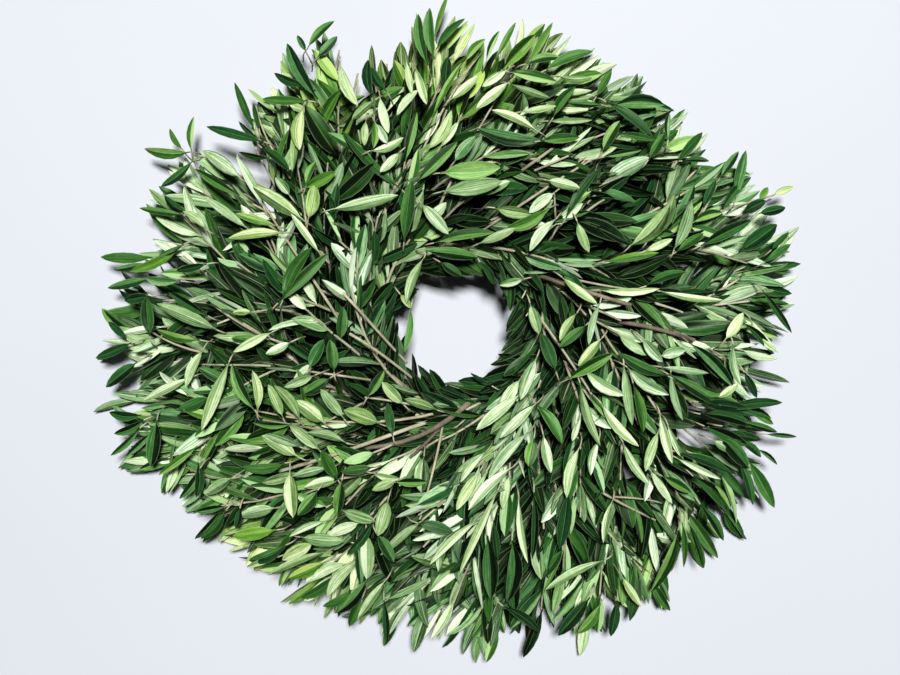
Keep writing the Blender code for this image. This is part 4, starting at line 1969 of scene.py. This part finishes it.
TOP_RIGHT_LEAVES = (
    upper((502, 70), (536, 34), 13, 42, 70), upper((528, 66), (553, 22), 7, 65, 60),
    upper((509, 72), (557, 81), 12, 62, 50), back((510, 84), (550, 98), 7, 40, 40),
    upper((546, 70), (594, 50), 11, 62, 20), upper((526, 64), (561, 57), 9, 50, 40),
    back((558, 76), (592, 78), 8, 45, 50), upper((553, 118), (576, 85), 10, 42, 30),
    upper((596, 97), (612, 70), 8, 50, 40), upper((606, 102), (653, 136), 10, 32, 0),
    upper((618, 133), (656, 140), 7, 38, 30), upper((602, 152), (618, 122), 11, 50, 50),
    upper((604, 157), (642, 150), 6, 42, 20), upper((648, 160), (665, 133), 10, 45, 30),
    upper((601, 105), (569, 103), 7, 35, 20), back((548, 121), (592, 120), 6, 50, 50),
    back((508, 69), (482, 87), 9, 95, 50), back((510, 81), (476, 109), 10, 95, 50),
    upper((486, 62), (500, 30), 6, 60, 40), upper((495, 60), (516, 22), 6, 62, 50),
    upper((540, 141), (580, 137), 10, 38, 50),
)

HOLE_LEAVES = (
    upper((522, 298), (506, 327), 5, 15, 0), upper((526, 316), (507, 340), 5, 20, 0),
    back((524, 279), (500, 285), 8, 70, 30), upper((480, 262), (494, 285), 7, 20, 10),
    back((424, 258), (406, 303), 10, 60, 40), back((400, 294), (411, 308), 7, 65, 80),
    upper((411, 308), (404, 352), 7, 60, 40), upper((440, 262), (462, 276), 9, 15, 20),
    upper((492, 386), (470, 373), 4, 25, 0),
)

TOP_LEAVES = (
    upper((318, 100), (287, 41), 13, 40, 0), upper((306, 85), (273, 73), 9, 25, 0),
    upper((308, 48), (334, 20), 9, 45, 35), upper((317, 58), (337, 36), 9, 30, 10),
    upper((306, 52), (297, 35), 6, 40, 10), upper((308, 101), (262, 99), 9, 55, 40),
    back((304, 106), (299, 152), 13, 75, 95), back((297, 122), (292, 172), 8, 50, 70),
    back((340, 62), (358, 108), 12, 85, 60), back((375, 100), (352, 118), 9, 35, 50),
    back((380, 96), (388, 134), 10, 95, 40), upper((372, 98), (368, 58), 10, 20, 0),
    upper((387, 92), (371, 66), 9, 25, 0), back((406, 60), (412, 94), 7, 85, 70),
    back((415, 66), (427, 105), 9, 75, 60), back((421, 88), (396, 116), 8, 90, 50),
    back((366, 120), (364, 146), 8, 70, 60), upper((374, 121), (373, 147), 7, 65, 60),
    back((375, 122), (387, 144), 9, 85, 10), upper((405, 162), (417, 112), 9, 35, 40),
    back((426, 150), (452, 112), 12, 80, 75), back((440, 148), (458, 122), 7, 85, 50),
    back((450, 100), (478, 76), 9, 90, 60), upper((432, 118), (462, 62), 6, 65, 60),
    upper((428, 66), (418, 12), 11, 50, 20), upper((434, 60), (430, 6), 11, 60, 20),
    upper((436, 50), (465, 17), 9, 45, 20), upper((445, 92), (448, 56), 11, 20, 10),
    upper((465, 62), (486, 38), 8, 70, 60), back((400, 152), (380, 172), 9, 85, 40),
    back((370, 151), (404, 138), 9, 85, 40), upper((454, 162), (475, 136), 11, 85, 0),
)

UPPER_RIGHT_LEAVES = (
    upper((612, 106), (666, 105), 14, 42, 15), upper((668, 140), (670, 112), 6, 50, 10),
    upper((677, 162), (703, 132), 9, 40, 10), upper((682, 161), (710, 161), 6, 30, 10),
    upper((720, 178), (739, 151), 8, 45, 15), upper((735, 200), (746, 150), 10, 60, 10),
    upper((722, 210), (752, 176), 9, 40, 10), upper((703, 208), (716, 180), 8, 35, 0),
    back((773, 195), (793, 187), 7, 75, 100), upper((759, 200), (768, 187), 7, 60, 80),
    upper((742, 214), (764, 201), 11, 18, 0), upper((758, 214), (786, 207), 10, 25, 0),
    upper((738, 252), (778, 224), 17, 28, 0), upper((771, 250), (789, 232), 6, 40, 10),
    upper((765, 262), (791, 244), 8, 55, 15), back((630, 246), (668, 206), 16, 40, 60),
    back((648, 240), (674, 196), 13, 42, 55), back((674, 250), (690, 202), 12, 50, 20),
    upper((676, 252), (704, 233), 8, 40, 40), upper((604, 262), (659, 253), 8, 45, 95),
    back((645, 251), (672, 239), 8, 85, 60), upper((646, 286), (687, 271), 9, 35, 20),
    upper((700, 246), (752, 220), 12, 30, 10), upper((692, 223), (724, 212), 9, 50, 60),
)
UPPER_RIGHT_STEMS = (
    SeenStem((700, 222), (716, 212), (736, 206), (774, 195), 0.0009, 0.0007),
    SeenStem((690, 232), (704, 212), (712, 196), (721, 176), 0.0010, 0.0008),
)

LEFT_LEAVES = (
    upper((153, 258), (100, 257), 11, 50, 20), upper((180, 248), (128, 272), 10, 62, 80),
    upper((150, 263), (114, 270), 7, 42, 10), upper((152, 278), (107, 288), 9, 48, 10),
    upper((181, 281), (144, 277), 9, 70, 10), upper((184, 244), (158, 255), 6, 32, 0),
    upper((184, 215), (139, 208), 7, 48, 30), upper((188, 213), (163, 195), 9, 22, 0),
    upper((240, 196), (194, 169), 9, 38, 40), back((248, 229), (203, 196), 9, 75, 30),
    back((206, 229), (184, 212), 8, 70, 50), back((240, 178), (204, 151), 14, 75, 20),
    back((263, 206), (237, 157), 9, 85, 20), upper((207, 264), (176, 271), 8, 18, 0),
    upper((127, 339), (108, 322), 8, 32, 0), upper((132, 343), (95, 358), 10, 35, 0),
    upper((138, 362), (105, 387), 13, 32, 0), upper((142, 415), (108, 412), 10, 30, 5),
    upper((144, 420), (113, 434), 9, 28, 20), upper((140, 428), (110, 456), 7, 40, 20),
    upper((152, 432), (126, 457), 7, 40, 10), upper((157, 420), (151, 467), 14, 30, 10),
    back((203, 350), (187, 386), 10, 80, 40), back((190, 378), (144, 400), 10, 85, 50),
    back((229, 362), (202, 430), 12, 70, 50), upper((150, 336), (147, 297), 13, 30, 20),
    upper((151, 296), (124, 301), 10, 22, 5), upper((200, 340), (155, 330), 9, 60, 60),
    back((217, 330), (158, 304), 14, 50, 30), upper((208, 316), (168, 292), 9, 20, 10),
    back((272, 332), (234, 352), 9, 85, 60), back((252, 312), (232, 312), 7, 60, 80),
    back((291, 342), (266, 354), 9, 85, 20), upper((200, 468), (179, 500), 9, 38, 20),
    upper((198, 462), (196, 498), 9, 20, 10), back((276, 508), (238, 517), 13, 60, 30),
    back((232, 478), (204, 496), 12, 50, 30), upper((198, 446), (158, 475), 8, 60, 60),
)
LEFT_STEMS = (
    SeenStem((290, 345), (262, 338), (240, 325), (206, 300), 0.0010, 0.0007),
    SeenStem((200, 352), (175, 346), (160, 338), (146, 328), 0.0010, 0.0007),
    SeenStem((270, 366), (250, 364), (220, 366), (196, 364), 0.0010, 0.0007),
)

LOWER_RIGHT_LEAVES = (
    upper((704, 408), (762, 416), 9, 30, 0), back((712, 440), (738, 452), 9, 60, 30),
    upper((738, 440), (762, 458), 8, 35, 10), upper((724, 420), (756, 440), 8, 20, 0),
    upper((752, 412), (772, 424), 8, 50, 40), upper((700, 396), (742, 404), 8, 40, 30),
    upper((688, 342), (735, 388), 11, 38, 5), upper((668, 374), (722, 406), 12, 38, 15),
    back((661, 367), (708, 373), 7, 60, 10), upper((722, 410), (784, 403), 10, 32, 0),
    upper((722, 426), (765, 431), 8, 32, 10), upper((765, 434), (797, 437), 5, 32, 5),
    back((717, 398), (739, 384), 8, 80, 70), back((733, 344), (740, 385), 9, 60, 15),
    back((725, 340), (744, 312), 11, 90, 70), upper((720, 436), (747, 466), 15, 30, 5),
    upper((738, 458), (754, 506), 9, 42, 10), upper((748, 460), (775, 508), 13, 50, 20),
    upper((757, 449), (778, 465), 5, 30, 10), back((677, 458), (720, 479), 7, 85, 30),
    upper((676, 452), (733, 474), 9, 32, 0), upper((693, 476), (729, 512), 12, 22, 10),
    upper((704, 480), (731, 510), 8, 50, 50), back((650, 470), (672, 503), 8, 90, 40),
    back((660, 356), (685, 350), 11, 70, 15), back((671, 372), (682, 420), 8, 60, 15),
    back((668, 425), (680, 456), 7, 65, 30), upper((662, 476), (692, 493), 9, 42, 40),
    back((750, 318), (777, 352), 10, 85, 40), upper((742, 322), (774, 354), 8, 5, 30),
    upper((762, 290), (792, 333), 7, 20, 10), upper((678, 530), (652, 594), 13, 42, 50),
    upper((682, 522), (684, 568), 6, 38, 40), upper((688, 522), (704, 568), 6, 22, 0),
    upper((700, 504), (724, 542), 9, 30, 10), back((742, 350), (776, 358), 8, 90, 30),
    upper((744, 372), (757, 398), 8, 15, 0), upper((698, 402), (750, 410), 12, 18, 0),
    upper((700, 414), (754, 426), 12, 12, 0), upper((704, 426), (748, 446), 12, 15, 10),
    upper((735, 410), (773, 418), 10, 18, 0), upper((718, 432), (762, 440), 10, 20, 10),
    upper((742, 422), (778, 432), 8, 30, 20),
)
LOWER_RIGHT_STEMS = (
    SeenStem((590, 484), (605, 496), (630, 508), (655, 520), 0.0012, 0.0009),
    SeenStem((604, 496), (625, 498), (640, 497), (662, 503), 0.0009, 0.0007),
)

# How young the twigs of a group are, from old brown wood at 0 to green at 1.
OLD_TWIGS = 0.1
YOUNG_TWIGS = 0.85
YOUNGEST_TWIGS = 0.9

# Each group's name, its leaves, its stems and how young its twigs are.
STANDOUTS = (
    ("lower_left", LOWER_LEFT_LEAVES, LOWER_LEFT_STEMS, YOUNGEST_TWIGS),
    ("upper_left", UPPER_LEFT_LEAVES, UPPER_LEFT_STEMS, YOUNG_TWIGS),
    ("upper_middle", UPPER_MIDDLE_LEAVES, UPPER_MIDDLE_STEMS, YOUNG_TWIGS),
    ("right", RIGHT_LEAVES, RIGHT_STEMS, YOUNG_TWIGS),
    ("foot", FOOT_LEAVES, (), YOUNG_TWIGS),
    ("top", TOP_LEAVES, (), YOUNG_TWIGS),
    ("upper_right", UPPER_RIGHT_LEAVES, UPPER_RIGHT_STEMS, YOUNG_TWIGS),
    ("left", LEFT_LEAVES, LEFT_STEMS, YOUNG_TWIGS),
    ("foot_left", FOOT_LEFT_LEAVES, (), YOUNG_TWIGS),
    ("top_right", TOP_RIGHT_LEAVES, (), YOUNG_TWIGS),
    ("hole", HOLE_LEAVES, (), YOUNG_TWIGS),
    ("lower_right", LOWER_RIGHT_LEAVES, LOWER_RIGHT_STEMS, YOUNG_TWIGS),
    ("brown_stems", (), BROWN_STEMS, OLD_TWIGS),
)


@dataclass
class Standout:
    """The leaves and stems of one part of the wreath that stand out from the rest, on top.

    Each rise is a height above the foliage's top.
    """

    name: str
    leaves: tuple[SeenLeaf, ...]
    stems: tuple[SeenStem, ...]
    youth: float
    bounds: Bounds
    stock: LeafStock
    finishes: Finishes

    rise: float = 0.013
    leaf_tip_lift: float = 0.003
    root_rise: float = -0.008
    settle_steps: int = 3
    twig_back: float = 0.010
    twig_drop: float = 0.020
    twig_radius: float = 0.0006
    forms: tuple[str, ...] = ("plain_lance", "swayed_lance", "plain_ellipse", "rising_ellipse")
    broad_from: float = 0.28
    tilt_draw: float = 16

    def build(self) -> Object:
        """Builds the leaves, the twigs that carry them and the bare stems as one piece.

        Returns:
            The piece.
        """
        draw = Draw(self.name)
        lines = [self.stem(seen) for seen in self.stems]
        lines += [self.twig(seen) for seen in self.leaves]
        wood = Wood(lines, self.name + "_wood", self.youth).model()
        leaves = [self.leaf(seen, draw) for seen in self.leaves]
        piece = dress_sprig(wood, leaves, self.name, self.finishes)
        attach(piece, "root")
        LOG.info("%s: %d leaves, %d faces", piece.name, len(leaves), len(piece.data.polygons))
        return piece

    def on_top(self, pixel: Pixel, rise: float) -> Vector:
        """Finds the point that is seen at a pixel, on top of the foliage.

        Args:
            pixel: The pixel.
            rise: How far the point is above the foliage's top.

        Returns:
            The point.
        """
        height = RIM_HEIGHT
        for _ in range(self.settle_steps):
            height = canopy_at(seen_at(pixel, height) - self.bounds.centre) + rise
        return seen_at(pixel, height)

    def stem(self, seen: SeenStem) -> Branch:
        """Places a bare stem.

        Args:
            seen: The stem as it is seen.

        Returns:
            Its curve.
        """
        root = self.on_top(seen.root, self.root_rise)
        root_pull = self.on_top(seen.root_pull, self.rise)
        tip_pull = self.on_top(seen.tip_pull, self.rise)
        tip = self.on_top(seen.tip, seen.tip_rise)
        return Branch(root, root_pull, tip_pull, tip, seen.radius, seen.tip_radius)

    def twig(self, seen: SeenLeaf) -> Branch:
        """Places the short twig that comes up from the foliage to a leaf's root.

        Args:
            seen: The leaf as it is seen.

        Returns:
            The twig's curve.
        """
        root = self.on_top(seen.root, self.rise)
        along = (self.on_top(seen.tip, self.rise) - root).normalized()
        start = root - along * self.twig_back - UP * self.twig_drop
        root_pull, tip_pull = start.lerp(root, 1 / 3), root - along * self.twig_back
        return Branch(start, root_pull, tip_pull, root, self.twig_radius, self.twig_radius)

    def leaf(self, seen: SeenLeaf, draw: Draw) -> Object:
        """Places a leaf, stretched from its root to its tip.

        Args:
            seen: The leaf as it is seen.
            draw: The group's own draws.

        Returns:
            The leaf.
        """
        root = self.on_top(seen.root, self.rise)
        tip = self.on_top(seen.tip, self.rise + self.leaf_tip_lift)
        span = (tip - root).length
        width = seen.width * PIXEL
        outline = Outline.ELLIPSE if width > self.broad_from * span else Outline.LANCE
        numbers = [
            number
            for number, form in enumerate(self.stock.forms)
            if form.outline is outline and form.name in self.forms
        ]
        number = draw.choice(numbers)
        form = self.stock.forms[number]
        grow = (tip - root).normalized()
        tilt = math.radians(either_way(draw, self.tilt_draw))
        level = grow.cross(UP).normalized()
        face = UP * math.cos(tilt) + level * math.sin(tilt)
        if seen.side is Side.BACK:
            face.negate()
        across = face.cross(grow).normalized()
        face = grow.cross(across).normalized()
        along_size, across_size = span / form.length, width / form.width
        axes = Matrix((grow * along_size, across * across_size, face * across_size))
        matrix = Matrix.Translation(root) @ axes.transposed().to_4x4()
        return self.stock.place(number, matrix, (seen.tone, seen.warmth, draw.random()))


@dataclass
class WireRing:
    """The ring that the wreath is built on: one round wire with a bent clamp on each bundle."""

    bounds: Bounds
    finishes: Finishes

    ring_steps: int = 168
    wire_sides: int = 14
    clamp_radius: float = 0.0012
    clamp_foot: float = 0.0034
    clamp_mouth: float = 0.0012
    clamp_bend: float = 0.0018
    clamp_rings: int = 2
    bend_steps: int = 5
    bend_fullness: float = 0.6
    smooth_under: float = math.radians(50)

    def build(self) -> Object:
        """Builds the wire and its clamps as one piece in place of the CAD ring.

        Returns:
            The piece.
        """
        pieces = [self.wire(), *(self.clamp(bunch) for bunch in range(BUNCHES))]
        ring = join(pieces, "clamp_ring_fine")
        ring.data.materials.clear()
        ring.data.materials.append(self.finishes.lacquer)
        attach(ring, "root")
        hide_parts("clamp_ring")
        LOG.info("%s: %d faces", ring.name, len(ring.data.polygons))
        return ring

    def wire(self) -> Object:
        """Models the round wire that lies on the floor.

        Returns:
            The wire.
        """
        deselect()
        bpy.ops.mesh.primitive_torus_add(
            major_segments=self.ring_steps,
            minor_segments=self.wire_sides,
            major_radius=RING_RADIUS,
            minor_radius=RING_WIRE / 2,
            location=self.bounds.centre + UP * RING_WIRE / 2,
        )
        bpy.ops.object.transform_apply(location=True, rotation=True, scale=True)
        bpy.ops.object.shade_smooth()
        return bpy.context.object

    def clamp(self, bunch: int) -> Object:
        """Models one clamp: a wire bent up on both sides of the stems and over them, with a gap.

        Args:
            bunch: The number of the clamp's bunch, from 0.

        Returns:
            The clamp.
        """
        angle = FIRST_BUNCH - bunch * BUNCH_STEP
        across = UP.cross(heading(angle, BUNDLE_HEADING))
        middle = self.bounds.centre + polar(RING_RADIUS, angle, 0.0)
        side = STEM_PITCH / 2 + STEM_HALF + SEAT_GAP + self.clamp_radius
        top = LOWER_STEM_Z + STEM_PITCH + STEM_HALF + SEAT_GAP + self.clamp_radius
        outline = [(-self.clamp_mouth, top), (-side, top), (-side, self.clamp_foot)]
        outline += [(-out, height) for out, height in reversed(outline)]
        places = [middle + across * out + UP * height for out, height in outline]
        curve = new_curve(f"clamp_{bunch + 1:02d}", self.clamp_radius, self.clamp_rings).data
        add_spline(curve, self.bent(places), self.bend_steps)
        bpy.ops.object.convert(target="MESH")
        bpy.ops.object.shade_smooth_by_angle(angle=self.smooth_under)
        return bpy.context.object

    def bent(self, places: list[Vector]) -> list[Knot]:
        """Rounds the inner corners of a clamp's line.

        Args:
            places: The line's corners.

        Returns:
            The place, both handles and the radius of each knot.
        """
        knots = [(places[0], places[0], places[0], 1.0)]
        for before, corner, after in zip(places, places[1:], places[2:]):
            start = corner + (before - corner).normalized() * self.clamp_bend
            end = corner + (after - corner).normalized() * self.clamp_bend
            knots.append((start, start, start.lerp(corner, self.bend_fullness), 1.0))
            knots.append((end, end.lerp(corner, self.bend_fullness), end, 1.0))
        return [*knots, (places[-1], places[-1], places[-1], 1.0)]


@dataclass
class Studio:
    """The floor, the light and the camera that looks straight down on the wreath."""

    finishes: Finishes

    floor_size: float = 6.0
    lamp_place: tuple[float, float, float] = (0.4, 1.8, 8.0)
    lamp_size: float = 1.3
    lamp_power: float = 1165.0
    sky_colour: str = "#F1F4FA"
    sky_strength: float = 0.03

    def build(self) -> None:
        """Builds the studio."""
        self.build_floor()
        self.build_light()
        self.build_camera()

    def build_floor(self) -> None:
        """Builds a plain pale floor under the wreath."""
        deselect()
        bpy.ops.mesh.primitive_plane_add(size=self.floor_size)
        floor = bpy.context.object
        floor.name = "floor"
        floor.data.materials.append(self.finishes.floor)
        floor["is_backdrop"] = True

    def build_light(self) -> None:
        """Builds one soft lamp high above, towards the picture's top, and a faint even sky."""
        bpy.ops.object.light_add(type="AREA", location=self.lamp_place)
        lamp = bpy.context.object
        lamp.name = "soft_lamp"
        lamp.data.size = self.lamp_size
        lamp.data.energy = self.lamp_power
        aim = -lamp.location
        lamp.rotation_euler = aim.to_track_quat("-Z", "Y").to_euler()
        world = bpy.data.worlds.new("pale_sky")
        world.use_nodes = True
        sky = world.node_tree.nodes["Background"]
        sky.inputs["Color"].default_value = linear(self.sky_colour)
        sky.inputs["Strength"].default_value = self.sky_strength
        bpy.context.scene.world = world
        bpy.context.scene.view_settings.view_transform = "Standard"

    def build_camera(self) -> None:
        """Builds the camera, with the angle that shows the rim at its real size."""
        place = (CAMERA_X, CAMERA_Y, CAMERA_HEIGHT)
        bpy.ops.object.camera_add(location=place, rotation=(0.0, 0.0, 0.0))
        camera = bpy.context.object
        camera.name = "camera_above"
        half_width = PIXEL * PICTURE_WIDTH / 2
        camera.data.angle = 2 * math.atan(half_width / (CAMERA_HEIGHT - RIM_HEIGHT))
        bpy.context.scene.camera = camera


def main() -> None:
    """Builds the wreath's looks in order and reports each piece."""
    logging.basicConfig(level=logging.INFO, format="%(message)s")
    cad_box = [list(map(float, corner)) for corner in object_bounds()]
    low, high = (Vector(corner) for corner in cad_box)
    ring_low, ring_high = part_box("clamp_ring")
    centre = (ring_low + ring_high) / 2
    bounds = Bounds(low, high, Vector((centre.x, centre.y, 0.0)))
    finishes = Finishes()
    stock = LeafStock(LEAF_FORMS)
    for tier in TIERS:
        for bunch in range(BUNCHES):
            Sprig(tier, bunch, bounds, stock, finishes).build()
    for name, leaves, stems, youth in STANDOUTS:
        Standout("standout_" + name, leaves, stems, youth, bounds, stock, finishes).build()
    stock.clear()
    WireRing(bounds, finishes).build()
    Studio(finishes).build()
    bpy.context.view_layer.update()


if __name__ == "__main__":
    main()
